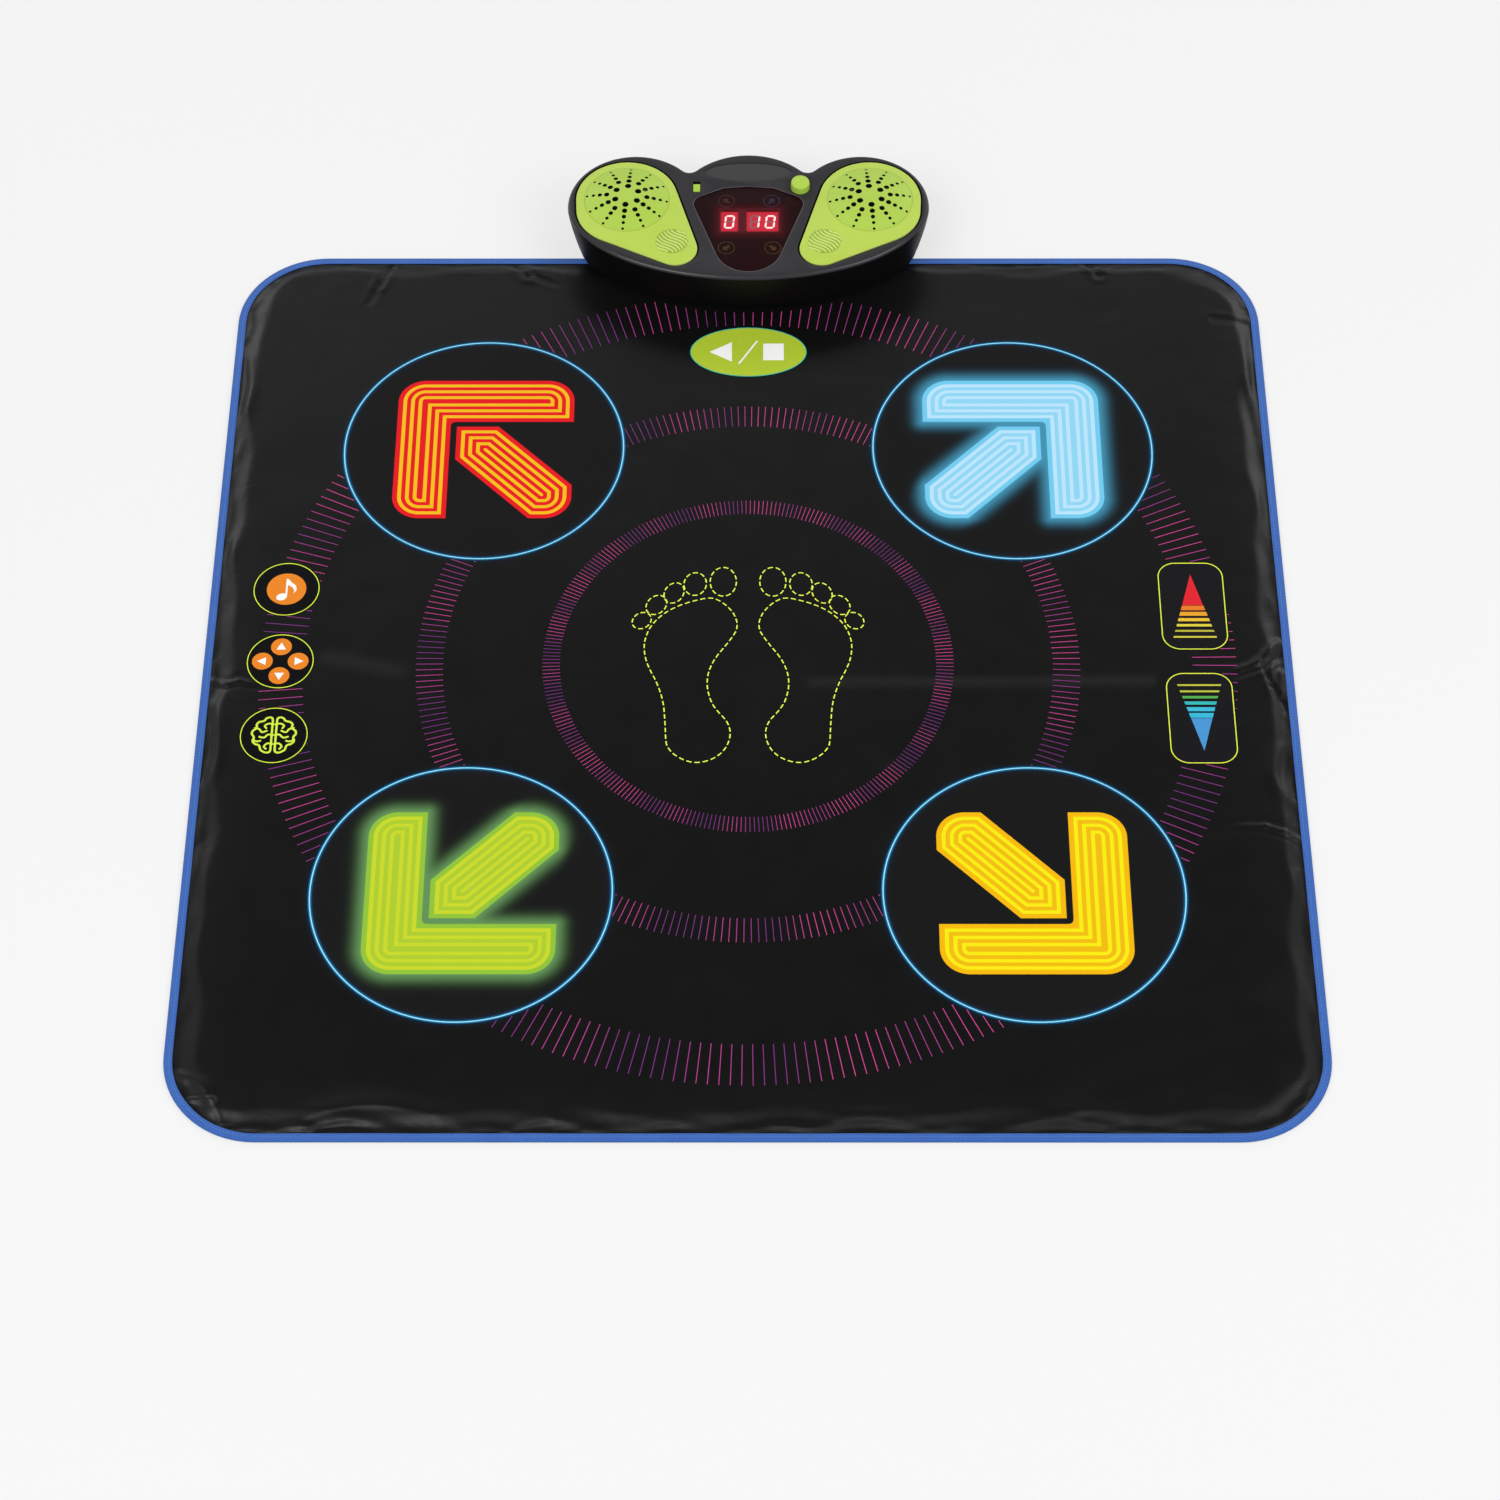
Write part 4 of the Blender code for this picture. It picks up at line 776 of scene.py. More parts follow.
def along_edge(x, y):
    """How far round the mat a place near its edge lies, from the front side's left end."""
    run = 0.0
    for _ in range(4):
        if y <= -STRAIGHT and abs(x) <= STRAIGHT:
            return run + x + STRAIGHT
        run += SIDE_RUN
        if x > STRAIGHT and y < -STRAIGHT:
            return run + math.atan2(x - STRAIGHT, -STRAIGHT - y) / (math.pi / 2) * CORNER_RUN
        run += CORNER_RUN
        x, y = y, -x
    depth = edge_distance(x, y)
    for turn in range(4):
        if abs(MAT_HALF + y - depth) < 0.0000001:
            return turn * (SIDE_RUN + CORNER_RUN) + x + STRAIGHT
        x, y = y, -x
    return 0.0


# Puckers where the skin is caught in the tape: place round the edge, half length, reach and height
PUCKERS = [
    (0.0690, 0.0400, 0.0110, 0.0016), (0.0880, 0.0760, 0.0230, 0.0011), (0.2230, 0.0350, 0.0110, 0.0013),
    (0.3160, 0.0290, 0.0090, 0.0013), (0.4010, 0.0330, 0.0060, 0.0010), (0.4680, 0.0480, 0.0115, 0.0016),
    (0.6120, 0.0520, 0.0100, 0.0014), (0.6350, 0.0330, 0.0180, 0.0009), (1.1170, 0.0340, 0.0160, 0.0014),
    (1.5320, 0.0360, 0.0080, 0.0013), (1.8460, 0.0540, 0.0075, 0.0010), (1.7700, 0.0190, 0.0090, 0.0011),
    (2.3300, 0.0600, 0.0070, 0.0010), (2.6350, 0.0460, 0.0095, 0.0013), (3.0170, 0.0500, 0.0110, 0.0016),
    (3.3520, 0.0270, 0.0150, 0.0016),
]
# Creases in from the tape: two ends, half width and height
CREASES = [
    (-0.4435, -0.0170, -0.4300, -0.0235, 0.0020, 0.0012), (-0.4300, -0.0235, -0.4195, -0.0200, 0.0020, 0.0011),
    (-0.4195, -0.0200, -0.4070, -0.0230, 0.0020, 0.0009), (0.4440, 0.0110, 0.4245, -0.0070, 0.0021, -0.0014),
    (0.4245, -0.0070, 0.4020, -0.0160, 0.0020, -0.0010), (0.4268, -0.0090, 0.4314, -0.0243, 0.0020, -0.0013),
    (0.4314, -0.0243, 0.4440, -0.0516, 0.0021, -0.0014), (0.4400, 0.0210, 0.4210, -0.0010, 0.0036, 0.0013),
    (0.4210, -0.0010, 0.4000, -0.0105, 0.0030, 0.0009), (0.4405, -0.0100, 0.4390, -0.0320, 0.0032, 0.0013),
    (0.4429, -0.1757, 0.4305, -0.1699, 0.0022, 0.0013), (0.4305, -0.1699, 0.4150, -0.1641, 0.0022, 0.0011),
    (0.4150, -0.1641, 0.3950, -0.1645, 0.0024, 0.0006), (-0.3190, 0.4400, -0.3280, 0.4150, 0.0028, -0.0017),
    (-0.3280, 0.4150, -0.3390, 0.3850, 0.0026, -0.0008), (-0.2070, 0.4410, -0.1960, 0.4270, 0.0036, -0.0015),
    (-0.1960, 0.4270, -0.1480, 0.4060, 0.0028, -0.0009), (-0.4095, -0.4166, -0.4265, -0.4140, 0.0024, 0.0010),
    (-0.4019, -0.4350, -0.4095, -0.4166, 0.0024, 0.0010), (0.3043, 0.4400, 0.3120, 0.4260, 0.0030, -0.0012),
    (0.4430, 0.3700, 0.4100, 0.3760, 0.0030, -0.0006),
]


def small_puckers():
    """Little puckers between the chosen ones, the same at every run."""
    chance = random.Random(7)
    place = 0.0
    found = []
    while place < ROUND:
        place += chance.uniform(0.018, 0.060)
        half = chance.uniform(0.010, 0.028)
        found.append((place, half, chance.uniform(0.0015, 0.0065), chance.uniform(0.0004, 0.0011)))
    return found


PUCKERS += small_puckers()
LEVELS = {}


def segment_distance(x, y, ax, ay, bx, by):
    """Distance to a line between two places."""
    run = (bx - ax) ** 2 + (by - ay) ** 2
    share = min(max(((x - ax) * (bx - ax) + (y - ay) * (by - ay)) / run, 0.0), 1.0)
    return math.hypot(x - ax - share * (bx - ax), y - ay - share * (by - ay))


def swell(off, width):
    """A soft bump: 1 in its middle, next to nothing a few widths away."""
    return math.exp(-((off / width) ** 2))


def slack(x, y, inset, here):
    """How far the puckers and creases lift the skin at a place near the edge."""
    lift = 0.0
    for place, half, reach, size in PUCKERS:
        off = (here - place + ROUND / 2) % ROUND - ROUND / 2
        if abs(off) < half:
            share = 1.0 - (off / half) ** 2
            run = inset - (0.0072 + reach * share)
            lift += size * share**0.6 * swell(run, 0.0027 if run < 0 else 0.0030 + reach * 0.35)
            lift -= size * 0.30 * share * swell(run + reach * 0.6, 0.0022 + reach * 0.3)
    for ax, ay, bx, by, width, size in CREASES:
        off = segment_distance(x, y, ax, ay, bx, by)
        if off < 4 * width:
            lift += size * swell(off, width) - size * 0.25 * swell(off - 2 * width, width)
    return lift


def flatness(x, y, inset):
    """0 where the skin has to lie flat, at the tape, under the box and at the zones, and 1 elsewhere."""
    under_box = ease(y, 0.360, 0.385) * (1.0 - ease(abs(x), 0.165, 0.185))
    pads = min(
        *(math.hypot(x - MODE_X, y - row * MODE_PITCH) - MODE_RADIUS for row in (-1, 0, 1)),
        max(abs(x - LEVEL_X) - LEVEL_HALF[0], abs(y) - LEVEL_PITCH / 2 - LEVEL_HALF[1]),
    )
    return ease(inset, 0.0070, 0.0085) * (1.0 - under_box) * ease(pads, 0.0008, 0.0060)


def level(x, y):
    """Height of the skin's face: a plateau, a fall to the taped edge, and the puckers and creases."""
    key = (round(x, 7), round(y, 7))
    if key in LEVELS:
        return LEVELS[key]
    inset = edge_distance(x, y)
    height, lift = MAT_TOP, 0.0
    if inset < SLACK_BAND:
        here = along_edge(x, y)
        sway = math.sin(here * math.tau * 19 / ROUND) + math.sin(here * math.tau * 43 / ROUND + 1.0) * 0.7
        shoulder = 0.0235 + 0.0045 * ease(-y, 0.30, 0.37) + 0.0033 * sway
        height = FLANGE_LEVEL + (MAT_TOP - FLANGE_LEVEL) * ease(inset, RAMP_START, shoulder)
        low = 0.0019 - height if inset < 0.026 else -0.0003
        lift = max(slack(x, y, inset, here) * flatness(x, y, inset), low)
    LEVELS[key] = height + lift
    return height + lift


def joined(whole, part, index):
    """Puts a part into a whole, in the finish of that index."""
    mesh = meshed("part", part)
    first = len(whole.faces)
    whole.from_mesh(mesh)
    bpy.data.meshes.remove(mesh)
    whole.faces.ensure_lookup_table()
    for face in whole.faces[first:]:
        face.material_index = index


def draped(shape, surface, lift):
    """Lays a flat shape on the skin, lift metres above its face."""
    for vert in shape.verts:
        vert.co.z = surface(vert.co.x, vert.co.y) + lift
    return shape


def on(made):
    """The height of a finished piece's upper face at a place, or the skin's level where it has none."""
    tree = BVHTree.FromObject(made, bpy.context.evaluated_depsgraph_get())

    def height(x, y):
        hit = tree.ray_cast(Vector((x, y, 0.1)), Vector((0.0, 0.0, -1.0)))[0]
        return hit.z if hit else level(x, y)

    return height


def printed(name, body, layers):
    """Inks on a zone: each layer is its outlines and its finish, and later layers lie on earlier ones."""
    whole = bmesh.new()
    finishes = []
    for order, (outlines, finish) in enumerate(layers):
        if finish not in finishes:
            finishes.append(finish)
        part = draped(gridded(filled(outlines), INK_GRID), level, INK_LIFT + INK * 1.2 * order)
        joined(whole, part, finishes.index(finish))
    thicken(piece(name, whole, finishes, body, 60.0), INK)


def make_mat(vinyl):
    """The skin with its ten zones cut free."""
    holes = list(zone_outlines(ZONE_CUT).values())
    half = MAT_HALF - SKIN_INSET
    outline = rounded(0.0, 0.0, half, half, MAT_CORNER - SKIN_INSET, 40)
    cuts = [uneven_cuts(half, stretches) for stretches in STRETCHES]
    shape = draped(gridded(filled([outline, *holes]), GRID, cuts), level, 0.0)
    skin = piece("mat_skin", shape, [vinyl], degrees=60.0)
    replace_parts(skin, "top_sheet")
    return skin


def make_zones():
    """The skins of the pressable zones, each riding on its pad in the finish of its print."""
    prints = {
        name: make_arrow_finish(*print_of)
        for name, print_of in (
            ("arrow_pad_rear_left", ("red_arrow_print", "#ee1c23", "#ee1c23", "#ffc51f")),
            ("arrow_pad_rear_right", ("blue_arrow_light", "#74cef2", "#92d8f5", "#bde7ff", "#48a5ca")),
            ("arrow_pad_front_left", ("green_arrow_light", "#93c63c", "#b0cf32", "#cbdb2c", "#70a763")),
            ("arrow_pad_front_right", ("yellow_arrow_print", "#fbbe0c", "#f6c010", "#fdf012")),
        )
    }
    mode = make_zone_finish("mode_black_print", "#060608")
    tall = make_zone_finish("level_black_print", "#161618")
    bodies = frame["record"]["behaviour"]["bodies"]
    for name, outline in zone_outlines().items():
        shape = draped(gridded(filled([outline]), GRID), level, 0.0)
        body = next(key for key, nodes in bodies.items() if name in nodes)
        finish = prints.get(name) or (tall if name.startswith("level") else mode)
        zone = thicken(piece(f"{name}_skin", shape, [finish], body, 60.0), SKIN)
        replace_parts(zone, name)
        x0, x1, y0, y1 = span(outline)
        across, along = x1 - x0, y1 - y0
        area = abs(turning(outline)) / 2


def sheet_print(name, shape, surface, finish):
    """Lays flat marks on the big skin as one print."""
    up(draped(shape, surface, INK_LIFT))
    thicken(piece(name, shape, [finish], degrees=60.0), INK)


# The part of the mat that the box hides, as an oval's half sizes, and the shortest piece of a tick kept
HIDDEN = (0.152, 0.083)
TICK_LEAST = 0.0008


def make_ticks(surface, finish):
    """Three rings of radial ticks, left out where a zone or the control box covers them."""
    covers = [(span(outline), outline) for outline in zone_outlines(0.0007).values()]

    def covered(x, y):
        if (x / HIDDEN[0]) ** 2 + ((y - BOX_Y) / HIDDEN[1]) ** 2 < 1.0:
            return True
        for (x0, x1, y0, y1), outline in covers:
            if x0 < x < x1 and y0 < y < y1:
                crossed = 0
                for (ax, ay), (bx, by) in pairs(outline):
                    crossed += (ay > y) != (by > y) and x < (bx - ax) * (y - ay) / (by - ay) + ax
                if crossed % 2:
                    return True
        return False

    for name, (start, end, half) in zip(("inner", "middle", "outer"), TICK_RINGS):
        shape = bmesh.new()
        for i in range(TICKS):
            angle = math.tau * (i + 0.5) / TICKS
            c, s = math.cos(angle), math.sin(angle)
            places = [start + (end - start) * k / TICK_STEPS for k in range(TICK_STEPS + 1)]
            for hidden, run in groupby(places, key=lambda place: covered(place * c, place * s)):
                run = list(run)
                near, reach = run[0], run[-1]
                if hidden or reach - near < TICK_LEAST:
                    continue
                middle = Matrix.Translation(((near + reach) / 2 * c, (near + reach) / 2 * s, 0.0))
                size = Matrix.Diagonal(((reach - near) / 2, half, 1.0, 1.0))
                segments = max(1, round((reach - near) / 0.006))
                bmesh.ops.create_grid(
                    shape, x_segments=segments, y_segments=1, size=1.0,
                    matrix=middle @ Matrix.Rotation(angle, 4, "Z") @ size,
                )
        sheet_print(f"tick_ring_{name}", shape, surface, finish)


# Dashes of the footprints: pitch, inked share and half the width
DASH_PITCH = 0.0068
DASH_SHARE = 0.64
DASH_HALF = 0.0005
# The right foot's outline and its toes, each a middle, half sizes and a tilt, in millimetres
FOOT = (
    (33.4, 65.6), (26.0, 64.0), (18.0, 57.6), (12.0, 49.0), (9.2, 40.0), (9.6, 33.0), (12.0, 27.0),
    (18.0, 17.0), (24.0, 8.0), (29.0, -1.0), (32.6, -12.0), (33.6, -22.0), (32.6, -32.0),
    (29.4, -43.0), (24.0, -52.0), (18.0, -60.0), (15.0, -68.0), (14.6, -76.0), (17.0, -85.0),
    (22.0, -93.0), (30.0, -99.0), (40.0, -102.0), (50.0, -100.4), (60.0, -94.0), (65.6, -86.0),
    (67.0, -78.0), (67.6, -66.0), (68.4, -54.0), (69.4, -44.0), (72.0, -32.0), (76.0, -20.0),
    (80.4, -10.0), (84.0, 0.0), (85.8, 10.0), (85.8, 20.0), (83.0, 31.0), (77.6, 41.0),
    (68.0, 51.0), (56.0, 58.4), (44.0, 63.0),
)
TOES = (
    (20.8, 82.8, 11.0, 15.2, 0.0), (44.4, 80.4, 9.4, 12.0, 6.0), (62.0, 71.0, 8.0, 11.0, 20.0),
    (76.6, 58.4, 8.0, 10.6, 28.0), (88.6, 42.0, 7.4, 9.0, 34.0),
)


def make_feet(surface, finish):
    """Two dashed footprints that show where to stand."""
    shape = bmesh.new()
    loops = [spun_curve(FOOT, closed=True, steps=5)]
    for x, y, half_x, half_y, tilt in TOES:
        loops.append(moved(oval(0.0, 0.0, half_x, half_y, 56), x, y, turn=tilt))
    for side in (-1, 1):
        for loop in loops:
            track = [(side * x * 0.001, y * 0.001) for x, y in loop + loop[:1]]
            xs, ys = zip(*track)
            marks = [0.0]
            for (ax, ay), (bx, by) in zip(track, track[1:]):
                marks.append(marks[-1] + math.hypot(bx - ax, by - ay))
            count = max(4, round(marks[-1] / DASH_PITCH))
            for i in range(count):
                start = marks[-1] * i / count
                run = marks[-1] / count * DASH_SHARE
                grid = bmesh.ops.create_grid(shape, x_segments=3, y_segments=1, size=0.5)
                for vert in grid["verts"]:
                    at = start + run * (vert.co.x + 0.5)
                    ahead = (at + 0.0006) % marks[-1]
                    x, y = float(np.interp(at, marks, xs)), float(np.interp(at, marks, ys))
                    dx, dy = float(np.interp(ahead, marks, xs)) - x, float(np.interp(ahead, marks, ys)) - y
                    size = math.hypot(dx, dy)
                    off = math.copysign(DASH_HALF, vert.co.y)
                    vert.co = (x - dy / size * off, y + dx / size * off, 0.0)
    sheet_print("footprints", shape, surface, finish)


def scaled(points):
    """Points from millimetres to metres."""
    return [(x * 0.001, y * 0.001) for x, y in points]


def triangle(x, y, size, turn):
    """An even triangle whose point is turned by degrees from straight up, in millimetres."""
    shape = [(0.0, 0.62 * size), (-0.55 * size, -0.40 * size), (0.55 * size, -0.40 * size)]
    return moved(shape, x, y, turn=turn)


# Stem and flag of the note, half of the brain's outline and its folds, in millimetres from their middles
NOTE = (
    (-0.6, -7.6), (0.9, -7.2), (0.9, 4.4), (4.6, 2.2), (6.6, -1.4), (6.2, -4.6), (8.6, -1.0), (7.8, 3.4),
    (4.0, 7.0), (0.9, 10.6), (-0.6, 10.6),
)
BRAIN = (
    (0.8, 14.6), (1.6, 17.6), (4.4, 18.8), (7.8, 17.4), (9.2, 15.2), (13.4, 13.8), (15.6, 10.6), (15.2, 7.6),
    (18.2, 4.8), (18.8, 1.0), (17.0, -2.2), (17.6, -6.4), (15.0, -9.6), (12.0, -10.8),
    (10.6, -15.0), (7.2, -17.6), (4.0, -18.2), (1.6, -17.0), (0.8, -14.4),
)
FOLDS = (
    ((0.8, 10.8), (4.6, 11.6), (7.8, 9.6), (6.6, 7.0)),
    ((15.8, 7.2), (12.2, 6.0), (9.8, 3.0), (6.0, 4.4)),
    ((0.8, 0.2), (4.6, 0.6), (7.8, -2.4), (11.6, -1.6)),
    ((17.0, -4.6), (13.4, -6.2), (10.6, -5.6)),
    ((0.8, -8.8), (4.6, -8.2), (7.2, -11.2), (5.6, -13.6)),
)
# Bars under the wedges' peaks: where each starts and ends, in millimetres from the tip
BARS = ((33.0, 37.8), (39.5, 43.6), (46.1, 49.3), (52.3, 54.8), (58.5, 60.4), (64.9, 66.6))


def make_play_print(inks):
    """The oval in front of the box: a play sign, a slanting stroke and a stop sign."""
    x, y = PLAY[0] * 1000, PLAY[1] * 1000
    field = scaled(oval(x, y, 50.3, 27.5, 96))
    signs = (
        [(-34.0, y), (-14.5, y + 11.2), (-14.5, y - 11.2)],
        [(8.6, y + 12.6), (-7.4, y - 13.6), (-9.2, y - 13.6), (6.8, y + 12.6)],
        [(13.0, y - 9.6), (13.0, y + 9.6), (31.0, y + 9.6), (31.0, y - 9.6)],
    )
    printed("play_stop_print", "play_stop", [
        ([scaled(oval(x, y, 51.2, 28.4, 96)), field], inks["cyan"]),
        ([field], inks["leaf"]),
        ([scaled(sign) for sign in signs], inks["white"]),
    ])


def make_mode_prints(inks):
    """The round zones at the left: a note, four arrow spots and a brain, each in a thin ring."""
    mode_x, rear = MODE_X * 1000, MODE_PITCH * 1000

    def placed(loops, y, flip=1.0):
        return [scaled(moved(loop, mode_x, y, flip=flip)) for loop in loops]

    ring = [oval(0.0, 0.0, radius, radius, 96) for radius in (27.6, 26.8)]
    printed("mode_rear_print", "mode_rear", [
        (placed(ring, rear), inks["line"]),
        (placed([oval(0.0, 0.0, 16.5, 16.5, 56)], rear), inks["orange"]),
        (placed([moved(oval(0.0, 0.0, 4.6, 3.5, 28), -3.6, -8.2, turn=24)], rear), inks["white"]),
        (placed([NOTE], rear), inks["white"]),
    ])
    spots, points = [], []
    for turn in (0, 90, 180, 270):
        dx, dy = -14.8 * math.sin(math.radians(turn)), 14.8 * math.cos(math.radians(turn))
        spots.append(oval(dx, dy, 8.6, 8.6, 40))
        points.append(triangle(dx, dy, 7.2, turn))
    printed("mode_middle_print", "mode_middle", [
        (placed(ring, 0.0), inks["line"]),
        (placed(spots, 0.0), inks["orange"]),
        (placed(points, 0.0), inks["white"]),
    ])
    outer = spun_curve(BRAIN, steps=5)
    halves, folds = [], []
    for side in (-1, 1):
        halves += placed([outer, inner_line(outer, 1.8)], -rear, side)
        folds += placed([stroke(spun_curve(fold), 1.7) for fold in FOLDS], -rear, side)
    printed("mode_front_print", "mode_front", [
        (placed(ring, -rear), inks["line"]), (halves, inks["lime"]), (folds, inks["lime"]),
    ])


def make_level_prints(inks):
    """The tall zones at the right: two framed wedges of bars, pointing to the rear and to the front."""
    x = LEVEL_X * 1000
    for name, way, tints in (("level_up", 1, inks["warm"]), ("level_down", -1, inks["cold"])):
        y = way * LEVEL_PITCH * 500
        tip = y + way * 33.0
        frames = [rounded(x, y, 27.4, 45.4, 15.2, 16), rounded(x, y, 26.55, 44.55, 14.35, 16)]
        peak = [(x, tip), (x - 8.7, tip - way * 32.5), (x + 8.7, tip - way * 32.5)]
        layers = [([scaled(loop) for loop in frames], inks["level_line"]), ([scaled(peak)], tints[0])]
        for (near, far), tint in zip(BARS, tints[1:]):
            a, b = near * 0.272, far * 0.272
            near, far = tip - way * near, tip - way * far
            layers.append(([scaled([(x - a, near), (x + a, near), (x + b, far), (x - b, far)])], tint))
        printed(f"{name}_print", name, layers)


def stacked(rings, capped=True, closed=False):
    """A wall drawn through rings of points, each extruded from the one before it."""
    shape = bmesh.new()
    order = shape.verts.layers.int.new("order")
    row = shape.verts.layers.int.new("row")
    verts = []
    for i, point in enumerate(rings[0]):
        vert = shape.verts.new(point)
        vert[order] = i
        verts.append(vert)
    edges = first = [shape.edges.new(pair) for pair in pairs(verts)]
    if capped:
        bmesh.ops.contextual_create(shape, geom=edges)
    for number, ring in enumerate(rings[1:], 1):
        grown = bmesh.ops.extrude_edge_only(shape, edges=edges)["geom"]
        edges = [item for item in grown if isinstance(item, bmesh.types.BMEdge)]
        for item in grown:
            if isinstance(item, bmesh.types.BMVert):
                item.co = ring[item[order]]
                item[row] = number
    if capped:
        bmesh.ops.contextual_create(shape, geom=edges)
    if closed:
        bmesh.ops.bridge_loops(shape, edges=first + edges)
    bmesh.ops.recalc_face_normals(shape, faces=shape.faces)
    return shape


def mat_ring(inset, z, steps=16, pitch=0.012):
    """Points round the mat's outline, drawn in by an inset, evenly spaced along the straight sides."""
    half, radius = MAT_HALF - inset, MAT_CORNER - inset
    straight = max(1, round(SIDE_RUN / pitch))
    points = []
    for quarter in range(4):
        turn = 90 * quarter
        points += moved(arc(half - radius, half - radius, radius, 0, 90, steps), 0.0, 0.0, turn=turn)
        ends = moved([(half - radius, half), (radius - half, half)], 0.0, 0.0, turn=turn)
        (ax, ay), (bx, by) = ends
        for i in range(1, straight):
            points.append((ax + (bx - ax) * i / straight, ay + (by - ay) * i / straight))
    return [(x, y, z) for x, y in points]


def make_edge_tape(finish):
    """Woven tape folded round the edge, a little slack along its inner side."""
    top = 0.0030
    section = [
        (0.0070, 0.0), (0.0052, 0.0), (0.0032, 0.0), (0.0016, 0.00005), (0.0007, 0.0003),
        (0.0002, 0.0008), (0.0, 0.0015), (0.0002, 0.0022), (0.0007, 0.0027), (0.0016, 0.00295),
        (0.0032, top), (0.0050, top), (0.0064, top), (0.0070, 0.0028), (0.0070, 0.0025),
        (0.0048, 0.0025), (0.0014, 0.0025), (0.0005, 0.0015), (0.0014, 0.0005), (0.0070, 0.0005),
    ]
    rings = []
    for inset, z in section:
        ring = []
        for i, (x, y, _) in enumerate(mat_ring(inset, z, 20, 0.008)):
            wave = math.sin(i * 0.83) * 0.5 + math.sin(i * 0.37 + 1.0) * 0.5
            loose = wave * 0.00010 * ease(inset, 0.002, 0.0064) * (1.0 if z > 0.0024 else 0.0)
            ring.append((x - x / MAT_HALF * loose, y - y / MAT_HALF * loose, z + max(loose, 0.0) * 0.6))
        rings.append(ring)
    shape = stacked(rings, capped=False, closed=True)
    order, row = shape.verts.layers.int["order"], shape.verts.layers.int["row"]
    outline = mat_ring(0.0, 0.0, 20, 0.008)
    count = len(outline)
    along = [0.0]
    for (ax, ay, _), (bx, by, _) in pairs(outline):
        along.append(along[-1] + math.hypot(bx - ax, by - ay))
    across = [0.0]
    for (ai, az), (bi, bz) in pairs(section):
        across.append(across[-1] + math.hypot(bi - ai, bz - az))
    middle = across[6]
    uv = shape.loops.layers.uv.new("strip")
    for face in shape.faces:
        wraps = {vert[order] for vert in face.verts} >= {0, count - 1}
        turns = {vert[row] for vert in face.verts} >= {0, len(section) - 1}
        for loop in face.loops:
            i, j = loop.vert[order], loop.vert[row]
            u = along[count] if wraps and i == 0 else along[i]
            v = across[len(section)] if turns and j == 0 else across[j]
            loop[uv].uv = (u, v - middle)
    tape = piece("edge_tape", shape, [finish], degrees=50.0)
    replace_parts(tape, "edge_binding")
    return tape


def make_backing(finish):
    """Non-slip underside, turned up into the tape at its rim."""
    low = [(0.0112 - 0.0022 * s, 0.0008 * ease(s, 0.0, 1.0)) for s in (0.0, 0.25, 0.5, 0.75, 1.0)]
    rings = [mat_ring(inset, z) for inset, z in low]
    rings += [mat_ring(0.0014, 0.0008), mat_ring(0.0014, 0.0014)]
    rings += [mat_ring(inset + 0.0006, z + 0.0006) for inset, z in low[::-1]]
    backing = piece("backing", stacked(rings), [finish], degrees=30.0)
    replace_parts(backing, "base_sheet")


def box_edge():
    """Points of the box's widest outline with their outward directions."""
    edge = []
    for i in range(42):
        angle = math.pi / 2 * (i / 42 - 1)
        x, y = BOX_HALF_WIDTH * math.cos(angle), FRONT_DEPTH * math.sin(angle)
        slope = Vector((x / BOX_HALF_WIDTH**2, y / FRONT_DEPTH**2)).normalized()
        edge.append((Vector((x, y)), slope))
    lobe = Vector((LOBE_X, 0.0))
    lobe_end = math.radians(DIP_ANGLE)
    dip = lobe + Vector((math.cos(lobe_end), math.sin(lobe_end))) * (LOBE_RADIUS + DIP_RADIUS)
    rise = ARCH_RISE - dip.y
    arch_radius = (dip.x**2 + rise**2 - DIP_RADIUS**2) / (2 * (DIP_RADIUS + rise))
    arch = Vector((0.0, ARCH_RISE - arch_radius))
    arch_start = math.atan2(*(dip - arch).yx)
    runs = (
        (lobe, LOBE_RADIUS, 0.0, lobe_end, 30, 0),
        (dip, -DIP_RADIUS, lobe_end, arch_start, 12, 1),
        (arch, arch_radius, arch_start, math.pi / 2, 12, 0),
    )
    for centre, radius, start, end, count, skip in runs:
        for i in range(skip, count + 1 - skip):
            angle = start + (end - start) * i / count
            way = Vector((math.cos(angle), math.sin(angle)))
            edge.append((centre + way * radius, way))
    mirrored = [(Vector((-p.x, p.y)), Vector((-n.x, n.y))) for p, n in edge[1:-1][::-1]]
    return edge + mirrored


BOX_EDGE = box_edge()


def box_ring(z, extra=0.0):
    """The box's outline at a height, drawn in by an extra distance."""
    inset = BOX_TAPER * max(0.0, 1.0 - z / BOX_TOP) ** 1.3 + extra
    return [(p.x - n.x * inset, p.y - n.y * inset + BOX_Y, z) for p, n in BOX_EDGE]


def hull(circles):
    """The outline of a band stretched round circles given as x, y and radius."""
    points = []
    for x, y, radius in circles:
        points += [Vector(p) for p in oval(x, y, radius, radius, 72)]
    return [tuple(points[i]) for i in convex_hull_2d(points)]


def panel_circles(side, grow=0.0):
    """The circles that a lime panel's outline is stretched round."""
    return [
        (side * SPEAKER_X, SPEAKER_Y, 0.0450 + grow),
        (side * (SPEAKER_X + 0.0040), SPEAKER_Y - 0.0110, 0.0405 + grow),
        (side * (SPEAKER_X - 0.0435), SPEAKER_Y - 0.0580, 0.0193 + grow),
    ]


def lens_circles(grow=0.0):
    """The circles that the lens's outline is stretched round."""
    circles = [(0.0, BOX_Y + 0.0140, 0.0080 + grow), (0.0, BOX_Y - 0.0500, 0.0300 + grow)]
    for side in (-1, 1):
        circles.append((side * 0.0378, BOX_Y + 0.0002, 0.0110 + grow))
        circles.append((side * 0.0203, BOX_Y + 0.0118, 0.0080 + grow))
    return circles


